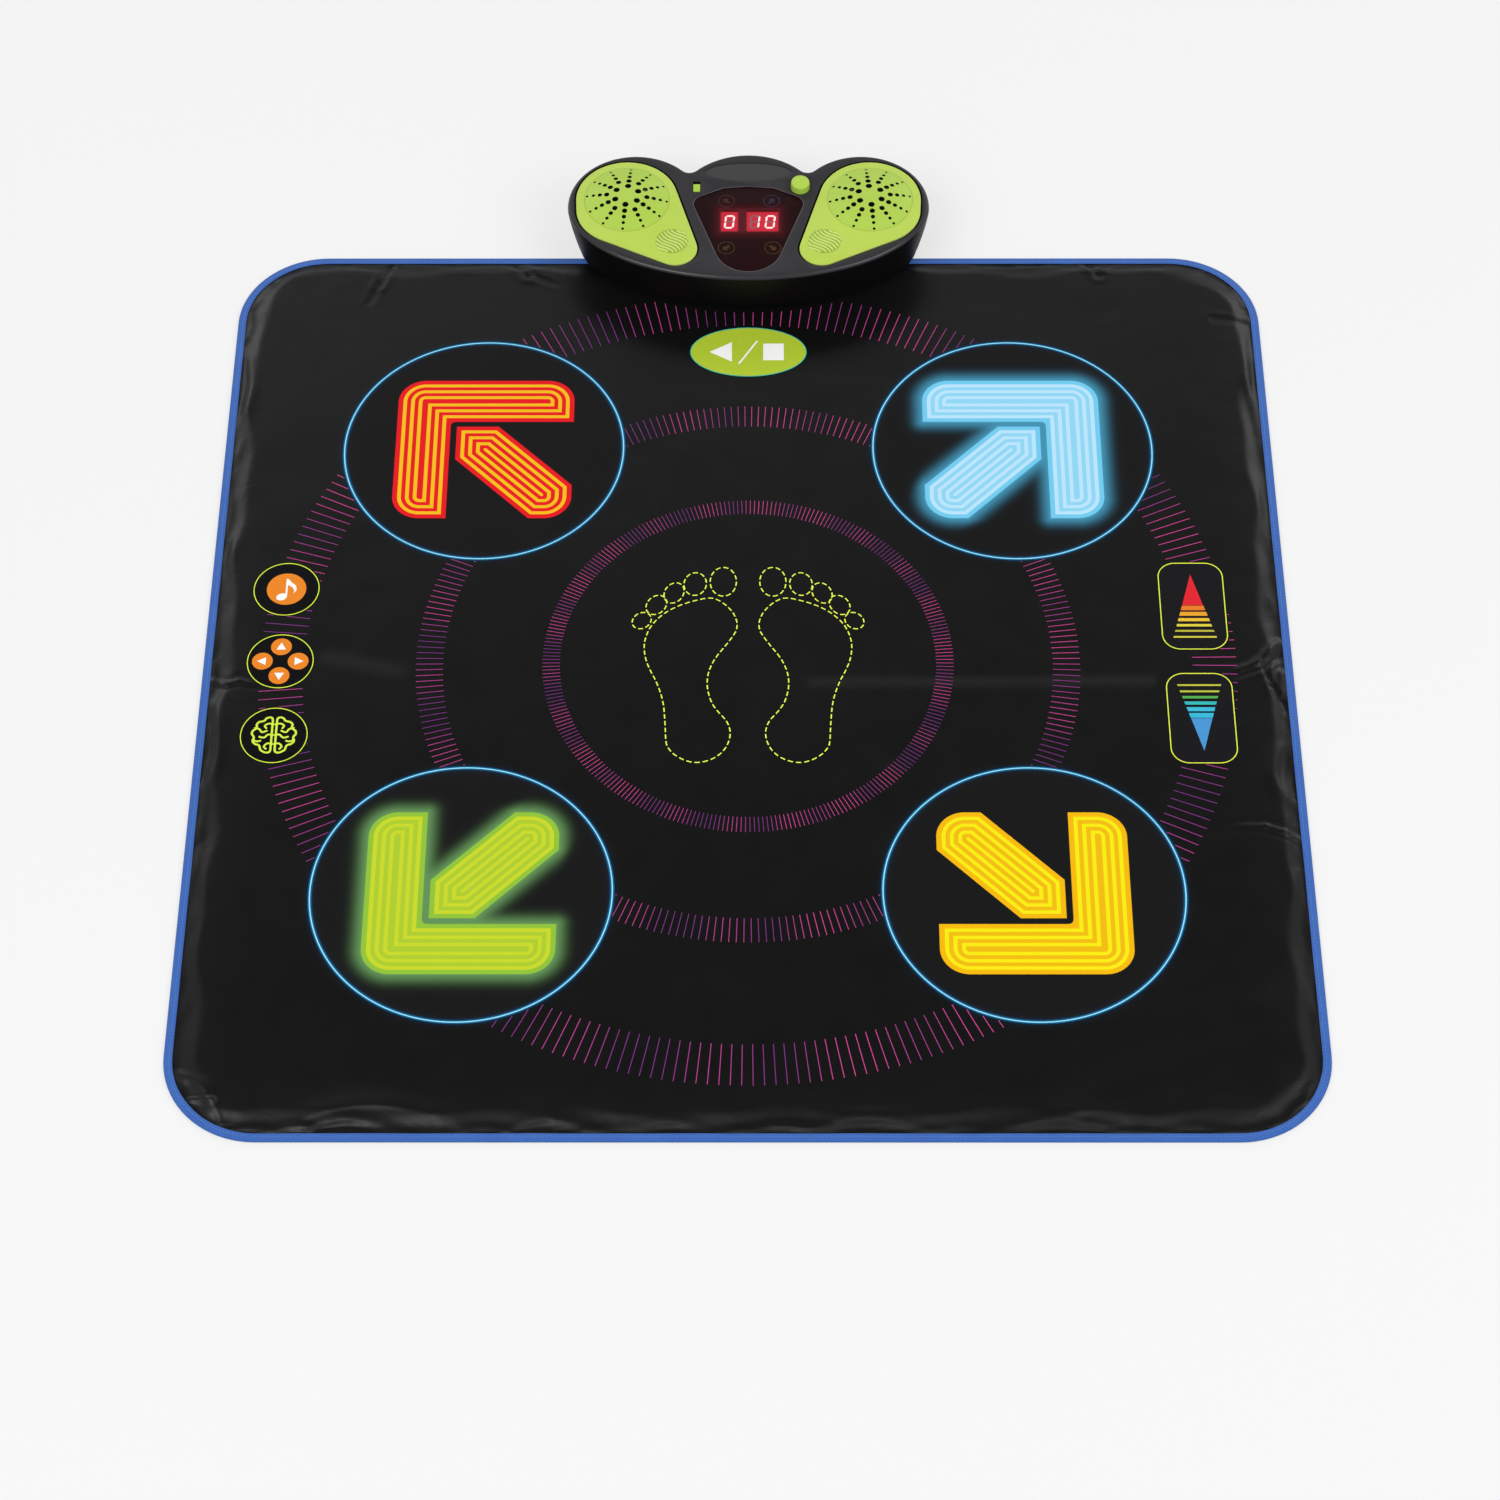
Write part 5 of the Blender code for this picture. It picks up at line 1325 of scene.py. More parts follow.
def slab(outlines, low, high):
    """A flat solid of the given outlines between two levels."""
    shape = filled(outlines)
    bmesh.ops.translate(shape, vec=(0.0, 0.0, low), verts=shape.verts)
    grown = bmesh.ops.extrude_face_region(shape, geom=shape.faces[:])["geom"]
    lifted = [item for item in grown if isinstance(item, bmesh.types.BMVert)]
    bmesh.ops.translate(shape, vec=(0.0, 0.0, high - low), verts=lifted)
    bmesh.ops.recalc_face_normals(shape, faces=shape.faces)
    return shape


def block(low, high):
    """A box between two corners."""
    shape = bmesh.new()
    low, high = Vector(low), Vector(high)
    bmesh.ops.create_cube(shape, size=1.0)
    bmesh.ops.scale(shape, vec=high - low, verts=shape.verts)
    bmesh.ops.translate(shape, vec=(low + high) / 2, verts=shape.verts)
    return shape


def turned(profile, x, y, steps):
    """A turned solid from a profile of radius and height, both ends on the axis."""
    shape = bmesh.new()
    verts = [shape.verts.new((x + radius, y, z)) for radius, z in profile]
    edges = [shape.edges.new(pair) for pair in zip(verts, verts[1:])]
    bmesh.ops.spin(
        shape, geom=verts + edges, cent=(x, y, 0.0), axis=(0.0, 0.0, 1.0), angle=math.tau,
        steps=steps, use_merge=True,
    )
    bmesh.ops.remove_doubles(shape, verts=shape.verts, dist=0.000001)
    bmesh.ops.recalc_face_normals(shape, faces=shape.faces)
    return shape


def at_height(z):
    """Picks the edges of a flat top."""
    return lambda edge: all(vert.co.z > z - 0.00001 for vert in edge.verts)


def softened(shape, width, segments=2, chosen=None, degrees=32.0):
    """Rounds the sharp edges of a shape."""
    edges = []
    for edge in shape.edges:
        if len(edge.link_faces) == 2 and edge.calc_face_angle(0.0) > math.radians(degrees):
            if chosen is None or chosen(edge):
                edges.append(edge)
    bmesh.ops.bevel(
        shape, geom=edges, offset=width, offset_type="OFFSET", segments=segments, profile=0.5,
        affect="EDGES", material=-1, clamp_overlap=True,
    )
    return shape


def carved(shape, cutters, operation="DIFFERENCE"):
    """Cuts solids out of a shape, or joins them to it."""
    stock = linked("stock", meshed("stock", shape))
    tools = []
    for cutter in cutters:
        tool = linked("tool", meshed("tool", cutter))
        boolean = stock.modifiers.new("cut", "BOOLEAN")
        boolean.operation = operation
        boolean.solver = "EXACT"
        boolean.object = tool
        tools.append(tool)
    bpy.context.view_layer.update()
    result = bmesh.new()
    result.from_object(stock, bpy.context.evaluated_depsgraph_get())
    for guide in [stock, *tools]:
        bpy.data.objects.remove(guide)
    bmesh.ops.remove_doubles(result, verts=result.verts, dist=0.0000005)
    return result


def make_upper_housing(finish, wall):
    """The top shell with its openings; its walls are in a darker finish, which the grooves round the panels and
    the recesses take too as painted shade.
    """
    rim_low = BOX_TOP - RIM_RADIUS
    rings = [box_ring(PARTING, 0.0004), box_ring(PARTING + 0.0004)]
    rings += [box_ring(PARTING + (rim_low - PARTING) * i / 8) for i in range(1, 9)]
    for i in range(1, 8):
        angle = math.pi / 2 * i / 7
        height = rim_low + RIM_RADIUS * math.sin(angle)
        rings.append(box_ring(height, RIM_RADIUS * (1.0 - math.cos(angle))))
    above, below = BOX_TOP + 0.0010, PLATE_UNDER - 0.0010
    cutters = [stacked([box_ring(z, WALL) for z in (PARTING - 0.001, 0.028, 0.040, PLATE_UNDER)])]
    for side in (-1, 1):
        cutters.append(slab([hull(panel_circles(side, PANEL_GROOVE))], PANEL_TOP - PANEL - GAP, above))
        cutters.append(slab([oval(side * SPEAKER_X, SPEAKER_Y, 0.025, 0.025, 48)], below, above))
    cutters.append(slab([hull(lens_circles(GAP))], BOX_TOP - LENS - GAP, above))
    cutters.append(slab([hull(lens_circles(-0.0035))], below, above))
    reach, depth, hole = 0.0107, 0.0014, BUTTON_RADIUS + GAP
    dish = [(reach * i / 8, BOX_TOP - depth + depth * (i / 8) ** 2.2) for i in range(9)]
    cutters.append(turned(dish + [(reach, above), (0.0, above)], *BUTTON, 64))
    cutters.append(slab([oval(*BUTTON, hole, hole, 48)], below, above))
    cutters.append(slab([rounded(*KNOB, 0.0033, 0.0062, 0.0008, 4)], below, above))
    cutters.append(slab([oval(*PLAQUE, 96)], BOX_TOP - 0.0005, above))
    shell = softened(carved(stacked(rings), cutters), 0.00035, 2, at_height(BOX_TOP), 50.0)
    # Level or plumb faces low in the grooves, recesses and the button's dish take the darker finish as painted
    # shade.
    for face in shell.faces:
        high = face.calc_center_median().z
        level_or_plumb = not 0.02 < abs(face.normal.z) < 0.98
        if high < BOX_TOP - 0.0034 or (high < BOX_TOP - 0.0011 and level_or_plumb):
            face.material_index = 1
    made = piece("upper_shell", shell, [finish, wall], degrees=28.0)
    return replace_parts(made, "upper_housing")


def copied(node, finish, bevel=0.0, name=None):
    """A finer copy of a node: its loose triangles joined, its flats shaded flat and its edges eased."""
    source = frame["nodes"][node]
    shape = bmesh.new()
    shape.from_mesh(source.data)
    bmesh.ops.remove_doubles(shape, verts=shape.verts, dist=0.000001)
    bmesh.ops.dissolve_limit(shape, angle_limit=math.radians(0.5), verts=shape.verts, edges=shape.edges)
    if bevel:
        softened(shape, bevel)
    made = piece(name or f"{node}_finished", shape, [finish], source["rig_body"], 30.0)
    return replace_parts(made, node)


def dome_profile(base, rise, foot):
    """Half the section of a shallow spherical dome on the panel's top, down to a flat foot."""
    sphere = (base**2 + rise**2) / (2 * rise)
    profile = []
    for i in range(11):
        reach = base * i / 10
        profile.append((reach, PANEL_TOP + math.sqrt(sphere**2 - reach**2) - (sphere - rise)))
    return profile + [(base, foot), (0.0, foot)]


def make_grille(side_name, side, finish, shade):
    """Lime teardrop panel: soft rim, pierced dome and a patch of wavy ribs on its tail."""
    x, y, foot = side * SPEAKER_X, SPEAKER_Y, PANEL_TOP - PANEL
    plate = slab([hull(panel_circles(side))], foot, PANEL_TOP)
    panel = softened(plate, PANEL_EDGE, 3, at_height(PANEL_TOP), 40.0)
    panel = carved(panel, [turned(dome_profile(DOME_RADIUS, DOME_RISE, foot + 0.0006), x, y, 72)], "UNION")
    holes = bmesh.new()
    places = [(0.0111, 0.0026, 60 * i - 35) for i in range(6)]
    for i in range(12):
        rings = ((0.0179, 0.0022), (0.0240, 0.0018), (0.0298, 0.0014), (0.0355, 0.0011))
        places += [(reach, size, 30 * i - 5) for reach, size in rings]
    for reach, size, angle in places:
        size *= 1.10
        turn = math.radians(angle if side < 0 else 180 - angle)
        middle = Vector((x + reach * math.cos(turn), y + reach * math.sin(turn), PANEL_TOP))
        bmesh.ops.create_cone(
            holes, cap_ends=True, segments=16, radius1=size, radius2=size, depth=0.03,
            matrix=Matrix.Translation(middle),
        )
    hollow = dome_profile(DOME_RADIUS - DOME_WALL, DOME_RISE - DOME_WALL, foot - 0.001)
    panel = carved(panel, [turned(hollow, x, y, 72), holes])
    # The walls of the holes in the dome take the dark finish: painted shade inside the holes.
    for face in panel.faces:
        middle = face.calc_center_median()
        within = math.hypot(middle.x - x, middle.y - y) < DOME_RADIUS - 0.0010
        if within and middle.z > foot + 0.001 and abs(face.normal.z) < 0.30:
            face.material_index = 1
    grille = piece(f"grille_{side_name}", panel, [finish, shade], degrees=28.0)
    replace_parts(grille, f"speaker_grille_{side_name}")
    ribs = bmesh.new()
    for k in range(-4, 5):
        grid = bmesh.ops.create_grid(ribs, x_segments=30, y_segments=6, size=0.5)
        across = 0.0033 * k
        half = math.sqrt(GRIP_REACH**2 - across**2)
        for vert in grid["verts"]:
            along, over = vert.co.x * 2, vert.co.y * 2
            run = along * half
            sway = across + 0.0017 * math.sin(run / 0.0140 * math.pi) + over * 0.00140
            height = 0.00125 * math.cos(over * math.pi / 2) * min(1.0, (1.0 - abs(along)) * 5.0)
            place = moved([(run, sway)], side * GRIP[0], GRIP[1], turn=-44)[0]
            vert.co = (*place, PANEL_TOP - 0.00005 + height)
    up(ribs)
    thicken(piece(f"grip_ribs_{side_name}", ribs, [finish], degrees=60.0), 0.0002)


def lens_print(name, outlines, z, thickness, finish):
    """A thin print on or under the lens."""
    shape = filled(outlines)
    bmesh.ops.translate(shape, vec=(0.0, 0.0, z), verts=shape.verts)
    thicken(piece(name, shape, [finish], degrees=60.0), thickness)


def make_lens(clear, mask, inks):
    """Smoked lens over a dark printed mask with two clear windows and four arrow marks."""
    shape = softened(slab([hull(lens_circles())], BOX_TOP - LENS, BOX_TOP), 0.0004, 3, at_height(BOX_TOP), 40.0)
    lens = piece("lens", shape, [clear], degrees=28.0)
    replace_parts(lens, "display_lens")
    # A thin light line round the lens's edge: a painted highlight.
    line = [hull(lens_circles(grow)) for grow in (0.0002, -0.0003)]
    lens_print("lens_edge_highlight", line, BOX_TOP + LENS_PRINT, LENS_PRINT, inks["edge"])
    under = BOX_TOP - LENS
    windows = [rounded(x, NUMBERS_Y, half, NUMBERS_HALF, 0.0006, 3) for x, half in (SCORE_WINDOW, LEVEL_WINDOW)]
    lens_print("lens_mask", [hull(lens_circles(-0.0010)), *windows], under - LENS_PRINT, LENS_PRINT, mask)
    arrow = [(0.0, 3.9), (-3.3, 0.5), (-1.3, 0.5), (-1.3, -3.6), (1.3, -3.6), (1.3, 0.5), (3.3, 0.5)]
    for name, x, y, turn, tint in (
        ("rear_left", -0.0195, 0.4718, 45, "red"), ("rear_right", 0.0205, 0.4718, -45, "blue"),
        ("front_left", -0.0195, 0.4160, 135, "green"), ("front_right", 0.0215, 0.4160, -135, "yellow"),
    ):
        outlines = [oval(x, y, radius, radius, 40) for radius in (0.0075, 0.0067)]
        outlines.append(moved(scaled(arrow), x, y, turn=turn))
        lens_print(f"indicator_{name}", outlines, under - MARK, MARK, inks[tint])


SEGMENTS = {
    "top": ((-1, 1), (1, 1)), "middle": ((-1, 0), (1, 0)), "bottom": ((-1, -1), (1, -1)),
    "upper_left": ((-1, 0), (-1, 1)), "upper_right": ((1, 0), (1, 1)),
    "lower_left": ((-1, -1), (-1, 0)), "lower_right": ((1, -1), (1, 0)),
}
LIT = {
    "0": ("top", "bottom", "upper_left", "upper_right", "lower_left", "lower_right"),
    "1": ("upper_right", "lower_right"),
}


def make_numbers(face, lit, dim):
    """Seven-segment number blocks: a red-filtered face with each segment as its own bar of light."""
    low, top = 0.0446, 0.0526
    w = 0.00085
    for name, node, (x, half), digits in (
        ("score_numbers", "score_display", SCORE_WINDOW, (("0", -0.0168),)),
        ("level_numbers", "level_display", LEVEL_WINDOW, (("1", 0.0056), ("0", 0.0192))),
    ):
        shape = block((x - half, NUMBERS_Y - NUMBERS_HALF, low), (x + half, NUMBERS_Y + NUMBERS_HALF, top))
        body = piece(name, softened(shape, 0.0003), [face])
        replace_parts(body, node)
        bars = bmesh.new()
        for digit, middle in digits:
            for segment, ends in SEGMENTS.items():
                (ax, ay), (bx, by) = [(u * 0.0036, v * 0.0070) for u, v in ends]
                reach = (math.hypot(bx - ax, by - ay) - 0.0008) / 2
                way = math.degrees(math.atan2(by - ay, bx - ax))
                tips = [(-reach, 0.0), (-reach + w, w), (reach - w, w)]
                tips += [(-u, -v) for u, v in tips]
                outline = [
                    (middle + u + v * 0.10, NUMBERS_Y + v)
                    for u, v in moved(tips, (ax + bx) / 2, (ay + by) / 2, turn=way)
                ]
                bar = slab([outline], top + 0.00002, top + 0.00025)
                joined(bars, bar, 0 if segment in LIT[digit] else 1)
        piece(f"{name}_segments", bars, [lit, dim], degrees=30.0)


def make_button(finish):
    """Round start button with a crowned top and a collar under the shell."""
    radius, crown, collar, foot = BUTTON_RADIUS, 0.0005, 0.0513, 0.0499
    flat, bend = radius * 0.78, radius * 0.22
    profile = [(flat * i / 6, BUTTON_TOP - crown * (i / 6) ** 2) for i in range(7)]
    for i in range(1, 8):
        angle = math.radians(12 + 78 * i / 7)
        drop = crown + radius * 0.30 * (1 - math.cos(angle))
        profile.append((flat + bend * math.sin(angle), BUTTON_TOP - drop))
    wide = radius + 0.0022
    profile += [(radius, collar), (wide, collar), (wide, foot), (0.0, foot)]
    button = piece("round_button", turned(profile, *BUTTON, 64), [finish], "start", 32.0)
    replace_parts(button, "start_button")


def make_knob(finish):
    """Slide knob with five cuts across its top, on a flange under the shell."""
    x, y = KNOB[0], KNOB[1] - 0.0017
    cuts = []
    for i in range(-2, 3):
        low, high = y + 0.0013 * i - 0.00035, y + 0.0013 * i + 0.00035
        cuts.append(block((x - 0.004, low, 0.0564), (x + 0.004, high, 0.058)))
    shape = block((x - 0.0030, y - 0.0042, 0.0502), (x + 0.0030, y + 0.0042, 0.0568))
    shape = softened(carved(shape, cuts), 0.00015, 2, None, 50.0)
    flange = block((x - 0.0048, y - 0.0060, 0.0500), (x + 0.0048, y + 0.0060, 0.0513))
    shape = carved(shape, [softened(flange, 0.0002)], "UNION")
    knob = piece("slide_knob", shape, [finish], "power", 32.0)
    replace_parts(knob, "power_switch_knob")


def off_windows(finish):
    """How far a place on the box is from the number windows, as a shader value."""
    x, y, _ = finish.place()
    low, high = SCORE_WINDOW[0] - SCORE_WINDOW[1], LEVEL_WINDOW[0] + LEVEL_WINDOW[1]
    off_x = abs(x - (low + high) / 2) - (high - low) / 2
    return finish.length(off_x.most(0.0), (abs(y - NUMBERS_Y) - NUMBERS_HALF).most(0.0))


def make_finishes():
    """Every finish of the object by its name."""
    kit = {}
    kit["vinyl"] = make_vinyl()
    kit["tape"] = make_tape()
    kit["ticks"] = make_tick_ink()
    charcoal = Finish("charcoal_housing", {"Specular IOR Level": 0.5})
    x, y, z = charcoal.place()
    badge = charcoal.length(x / PLAQUE[2], (y - PLAQUE[1]) / PLAQUE[3]).fall(0.985, 1.0)
    top = z.rise(0.0524, 0.0538)
    slow = charcoal.noise(0.040, 3.0)
    face = charcoal.mix(slow, srgb("#242327"), srgb("#2b2a2e"))
    face = charcoal.mix(badge, face, srgb("#3a393b"))
    low = charcoal.mix(slow, srgb("#080809"), srgb("#0c0c0d"))
    charcoal.use("Base Color", charcoal.mix(top, low, face))
    rim = z.fall(0.0552, 0.0558)
    charcoal.use("Roughness", 0.47 - 0.12 * badge - 0.24 * rim + 0.05 * slow)
    charcoal.bump(charcoal.noise(0.00045, 2.0) * (0.3 + 0.7 * top), 0.000012)
    kit["charcoal"] = charcoal
    wall = Finish("charcoal_wall", {"Specular IOR Level": 0.14})
    slow = wall.noise(0.040, 3.0)
    wall.tones(slow, "#060607", "#0b0b0c")
    wall.use("Roughness", 0.46 + 0.08 * slow)
    wall.bump(wall.noise(0.00045, 2.0), 0.000012)
    kit["wall"] = wall
    kit["lime"] = moulded("lime_plastic", "#bbe052", 0.40, 0.000008, 0.0004)
    kit["grille"] = make_grille_finish()
    # A dark finish for the walls of the grille's holes: painted shade.
    kit["hole"] = moulded("hole_wall_painted_shade", "#141a08", 0.55)
    lens = Finish("smoked_lens", {"Specular IOR Level": 0.16})
    lens.tones(lens.noise(0.02, 2.0), "#26080d", "#2e0a10")
    lens.use("Roughness", 0.30 + 0.05 * lens.noise(0.015, 3.0))
    lens.use("Alpha", 0.16 + 0.24 * off_windows(lens).rise(0.0, 0.004))
    kit["lens"] = lens
    mask = Finish("lens_mask_print", {"Specular IOR Level": 0.2, "Emission Strength": 1.0})
    # Red light from the numbers painted as a glow on the mask round the windows.
    painted_display_glow = off_windows(mask).fall(0.0, 0.016) ** 2.0
    mask.tones(mask.noise(0.004, 2.0), "#2a1a1b", "#332022")
    mask.use("Emission Color", mask.mix(painted_display_glow, BLACK, srgb("#5c0c18")))
    mask.use("Roughness", 0.5 + 0.1 * mask.noise(0.004, 2.0))
    kit["mask"] = mask
    backing = Finish("non_slip_backing", {"Specular IOR Level": 0.3})
    dots = backing.cells(0.0042)
    backing.tones(backing.noise(0.05, 3.0), "#1c1c1e", "#26262a")
    backing.use("Roughness", 0.75 + 0.1 * dots)
    backing.bump(dots.fall(0.10, 0.32), 0.00022)
    kit["backing"] = backing
    return kit


def make_camera():
    """The photograph's viewpoint, found from the mat's outline, its prints and the box's top."""
    pitch, yaw, roll = math.radians(54.9477), math.radians(-0.12932), math.radians(-0.104925)
    ahead = Vector((math.sin(yaw) * math.cos(pitch), math.cos(yaw) * math.cos(pitch), -math.sin(pitch)))
    right = Vector((math.cos(yaw), -math.sin(yaw), 0.0))
    upward = right.cross(ahead)
    turned_right = math.cos(roll) * right + math.sin(roll) * upward
    turned_up = math.cos(roll) * upward - math.sin(roll) * right
    camera = linked("camera", bpy.data.cameras.new("camera"))
    camera.data.lens = 92.2308
    camera.data.sensor_width = 36.0
    camera.data.clip_end = 60.0
    turn = Matrix((turned_right, turned_up, -ahead)).transposed().to_4x4()
    camera.matrix_world = Matrix.Translation((0.005785, -1.8852, 2.565545)) @ turn
    bpy.context.scene.camera = camera


def make_lamp(name, place, aim, size, power):
    """An oblong lamp that points at a place."""
    lamp = linked(name, bpy.data.lights.new(name, "AREA"))
    lamp.data.shape = "RECTANGLE"
    lamp.data.size, lamp.data.size_y = size
    lamp.data.energy = power
    lamp.location = place
    lamp.rotation_euler = (Vector(aim) - Vector(place)).to_track_quat("-Z", "Y").to_euler()


# Lamps: name, place, what it points at, width and depth, and watts
LAMPS = (
    ("left_front", (-1.5, -1.5, 2.7), (0.0, 0.0, 0.0), (1.9, 1.9), 42.0),
    ("right_front", (2.1, -1.0, 2.3), (0.0, 0.1, 0.0), (1.8, 1.8), 32.0),
    ("rear", (-0.5, 2.8, 2.2), (0.0, 0.2, 0.0), (3.4, 0.7), 6.0),
    ("rim_left", (-1.8, 2.3, 1.35), (0.0, 0.2, 0.0), (1.2, 0.5), 7.0),
    ("rim_right", (1.8, 2.3, 1.35), (0.0, 0.2, 0.0), (1.2, 0.5), 8.0),
)


def make_surround():
    """A plain white surround, darker overhead and in front of the box, where the mat mirrors it."""
    world = bpy.data.worlds.new("studio")
    bpy.context.scene.world = world
    world.use_nodes = True
    tree = world.node_tree
    path = tree.nodes.new("ShaderNodeLightPath")
    background = tree.nodes["Background"]
    background.inputs["Color"].default_value = grey(1.0)
    ahead = tree.nodes.new("ShaderNodeVectorMath")
    ahead.operation = "DOT_PRODUCT"
    ahead.inputs[1].default_value = (0.0, 0.450, 0.893)
    tree.links.new(tree.nodes.new("ShaderNodeTexCoord").outputs["Generated"], ahead.inputs[0])
    dusk = tree.nodes.new("ShaderNodeMapRange")
    dusk.interpolation_type = "SMOOTHSTEP"
    tree.links.new(ahead.outputs["Value"], dusk.inputs["Value"])
    for socket, value in (("From Min", 0.83), ("From Max", 0.965), ("To Min", 0.50), ("To Max", 0.05)):
        dusk.inputs[socket].default_value = value
    strength = tree.nodes.new("ShaderNodeMapRange")
    tree.links.new(path.outputs["Is Camera Ray"], strength.inputs["Value"])
    tree.links.new(dusk.outputs[0], strength.inputs["To Min"])
    strength.inputs["To Max"].default_value = 0.97
    tree.links.new(strength.outputs[0], background.inputs["Strength"])


def make_floor():
    """Pale paper whose seen brightness is its own, so that it stays even and never clips."""
    shape = bmesh.new()
    bmesh.ops.create_grid(shape, x_segments=1, y_segments=1, size=30.0)
    bmesh.ops.translate(shape, vec=(0.0, 0.0, -0.0003), verts=shape.verts)
    paper = Finish("pale_floor", {"Roughness": 0.9, "Specular IOR Level": 0.0})
    paper.use("Base Color", grey(0.34))
    light = paper.node("ShaderNodeLightPath", {}, {}).output.node
    seen = Value(paper, light.outputs["Is Camera Ray"])
    seen = seen.most(Value(paper, light.outputs["Is Glossy Ray"]))
    seen = seen.most(Value(paper, light.outputs["Is Transmission Ray"]))
    paper.shader.inputs["Emission Strength"].default_value = 1.0
    x, y, _ = paper.place()
    far = paper.length(x, y).rise(1.1, 4.5)
    pale = paper.mix(far, grey(0.60), grey(0.81))
    paper.use("Emission Color", paper.mix(seen, BLACK, pale))
    floor = linked("floor", made_mesh("floor", shape, [paper]))


def make_inner_finishes(kit):
    """Finishes of the pieces inside, by the record's slots, laid on every node that stays."""
    steel = Finish("plated_steel", {"Metallic": 1.0})
    steel.tones(steel.noise(0.004, 3.0), "#a9adb1", "#c4c7c9")
    steel.use("Roughness", 0.24 + 0.18 * steel.noise(0.0012, 3.0))
    steel.bump(steel.noise(0.0006, 2.0), 0.000006)
    board = Finish("circuit_board", {"Specular IOR Level": 0.5})
    tracks = board.cells(0.0034, "DISTANCE_TO_EDGE")
    copper = tracks.fall(0.05, 0.09)
    board.tones(copper, "#12482b", "#2f7a45")
    board.use("Roughness", 0.34 + 0.10 * board.noise(0.003, 2.0))
    board.bump(copper, 0.00003)
    paper = Finish("speaker_paper", {"Specular IOR Level": 0.25})
    x, y, _ = paper.place()
    out = paper.length(abs(x) - SPEAKER_X, y - SPEAKER_Y)
    ripple = (out * (math.tau / 0.0026)).sine()
    paper.tones(paper.noise(0.0012, 4.0), "#121212", "#242322")
    paper.use("Roughness", 0.80 + 0.10 * paper.noise(0.002, 2.0))
    paper.bump(ripple * out.rise(0.014, 0.018) * 0.5 + paper.noise(0.0006, 2.0) * 0.4, 0.00025)
    cell = Finish("cell_jacket", {"Specular IOR Level": 0.5})
    x, _, _ = cell.place()
    band = (x * (1 / 0.0505) % 1.0).rise(0.70, 0.705)
    cell.tones(band, "#1b1d22", "#b8772f")
    cell.use("Roughness", 0.25 + 0.10 * cell.noise(0.004, 3.0))
    cell.bump(cell.noise(0.006, 2.0), 0.00003)
    ribbon = Finish("ribbon_grey", {"Specular IOR Level": 0.4})
    x, _, _ = ribbon.place()
    ridge = (x * (math.tau / 0.00127)).sine()
    # Lighter on the ridges and darker in the grooves: painted highlight and painted shade.
    ribbon.tones(ridge.rise(-0.6, 0.6), "#7d7f82", "#a3a5a8")
    ribbon.use("Roughness", 0.45 + 0.10 * ribbon.noise(0.003, 2.0))
    ribbon.bump(ridge, 0.0001)
    inner = {
        "plated_steel": steel, "circuit_board": board, "speaker_paper": paper, "cell_jacket": cell,
        "ribbon_grey": ribbon, "charcoal_plastic": kit["charcoal"], "lime_plastic": kit["lime"],
        "rubber": moulded("black_rubber", "#1b1b1c", 0.70, 0.00004, 0.0007),
        "clear_acrylic": moulded("light_guide_acrylic", "#d8dfe2", 0.16, 0.00003, 0.0022),
        "switch_black": moulded("switch_black", "#161618", 0.38),
    }
    for node in frame["nodes"].values():
        for held in node.material_slots:
            if held.material and held.material.name in inner:
                held.material = inner[held.material.name].material
    return inner


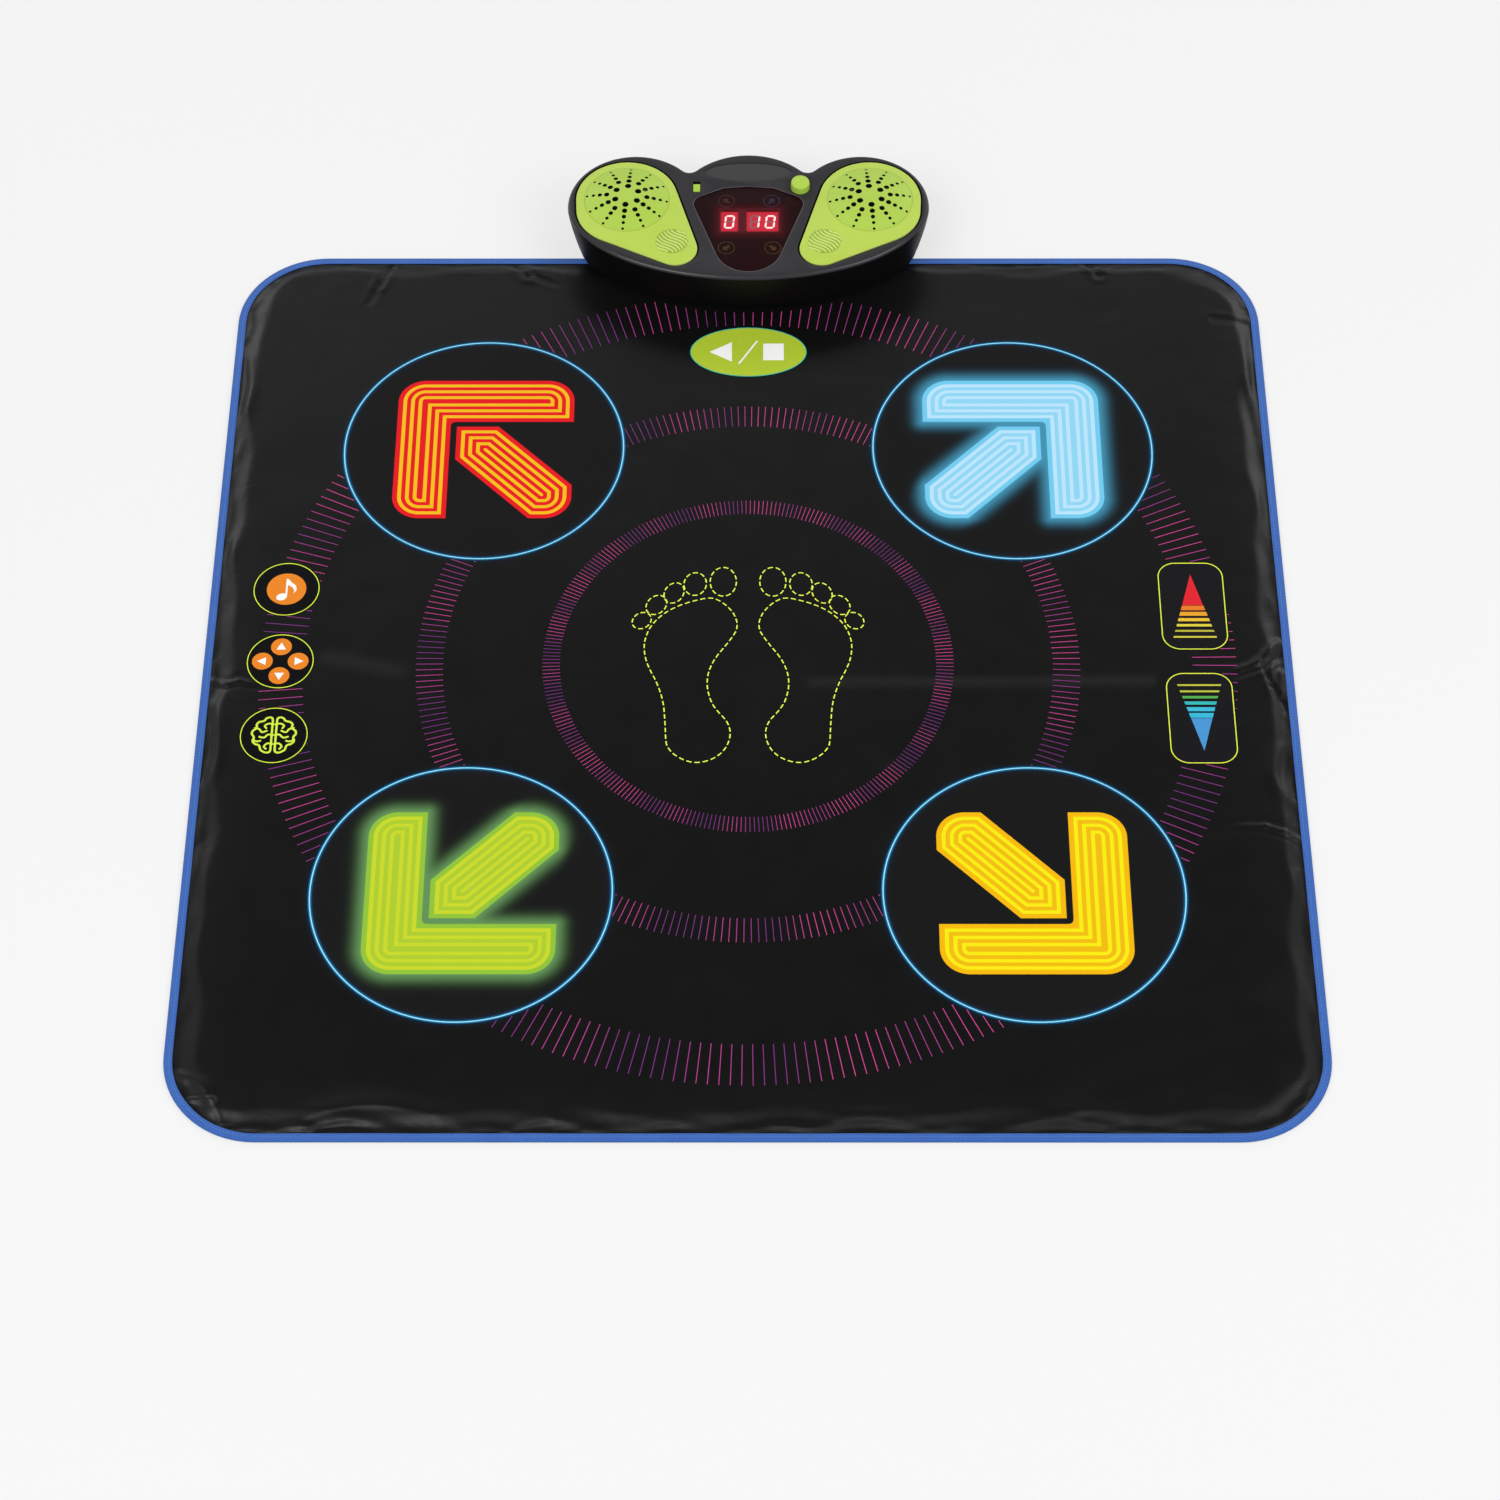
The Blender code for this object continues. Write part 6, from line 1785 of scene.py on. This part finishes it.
def make_prints(surface, finish):
    """Everything printed on the skin and on its zones."""
    make_ticks(surface, finish)
    # The printed inks given a glow here are no lamps: their glow is painted light.
    make_feet(surface, ink("footprint_ink", "#e0f050", 0.30))
    warm = ("#ee1f2d", "#f58220", "#fbad2a", "#fdcb33", "#f3df3f", "#c9c43c", "#dfd944")
    cold = ("#4a9ee0", "#36c3e6", "#3cc5e4", "#33c3c4", "#59b84e", "#c6cc3f", "#cfd142")
    inks = {
        "lime": ink("lime_ink", "#d2e844", 0.18),
        "leaf": ink("leaf_ink", "#bcd436", 0.05),
        "line": ink("lime_line_ink", "#d0e440", 0.30),
        "level_line": ink("yellow_green_ink", "#dce846", 0.30),
        "cyan": ink("cyan_ink", "#2fb5a5", 0.1),
        "white": ink("white_ink", "#fdfdfa", 0.15),
        "orange": ink("orange_ink", "#fb8f1f"),
        "warm": [ink(f"warm_ink_{i}", tint) for i, tint in enumerate(warm)],
        "cold": [ink(f"cold_ink_{i}", tint) for i, tint in enumerate(cold)],
    }
    make_play_print(inks)
    make_mode_prints(inks)
    make_level_prints(inks)


def make_box(kit, rubber):
    """The control box's visible pieces and the feet and cover under it."""
    make_upper_housing(kit["charcoal"], kit["wall"])
    copied("lower_housing", kit["wall"])
    for side_name, side in (("left", -1), ("right", 1)):
        make_grille(side_name, side, kit["grille"], kit["hole"])
    make_lens(kit["lens"], kit["mask"], {
        # The unlit arrow marks under the lens give off a faint painted glow.
        "red": ink("faint_red", "#9a5a50", 0.12), "blue": ink("faint_blue", "#626a92", 0.12),
        "green": ink("faint_green", "#8a8544", 0.12), "yellow": ink("faint_yellow", "#a88648", 0.12),
        # Light grey ink for the lens's edge line, a painted highlight.
        "edge": ink("painted_edge_highlight", "#6e666c"),
    })
    face, lit = ink("number_face", "#cf2a3e", 0.80), ink("lit_segment", "#ffe3e0", 1.1)
    # The unlit segments still give off a faint painted glow.
    make_numbers(face, lit, ink("unlit_segment", "#b48a90", 0.1))
    make_button(kit["lime"])
    make_knob(kit["lime"])
    copied("battery_cover", kit["wall"], 0.0003)
    for i in range(1, 5):
        copied(f"rubber_foot_{i}", rubber, 0.0003)


def main():
    """The studio, the mat, its inner layers and the box."""
    bpy.context.scene.view_settings.view_transform = "Standard"
    make_camera()
    make_surround()
    for lamp in LAMPS:
        make_lamp(*lamp)
    make_floor()
    kit = make_finishes()
    skin = thicken(make_mat(kit["vinyl"]), SKIN)
    make_zones()
    make_prints(on(skin), kit["ticks"])
    inner = make_inner_finishes(kit)
    tape = make_edge_tape(kit["tape"])
    make_backing(kit["backing"])
    make_box(kit, inner["rubber"])
    foam = copied("foam_core", moulded("grey_foam", "#6c6c70", 0.9, 0.0002, 0.0012), name="foam_layer")
    spacer = copied("spacer_sheet", moulded("dark_foam", "#29292c", 0.9, 0.0002, 0.0012), name="spacer_layer")
    film = copied("contact_film", moulded("film", "#33363a", 0.4), name="film_layer")


main()
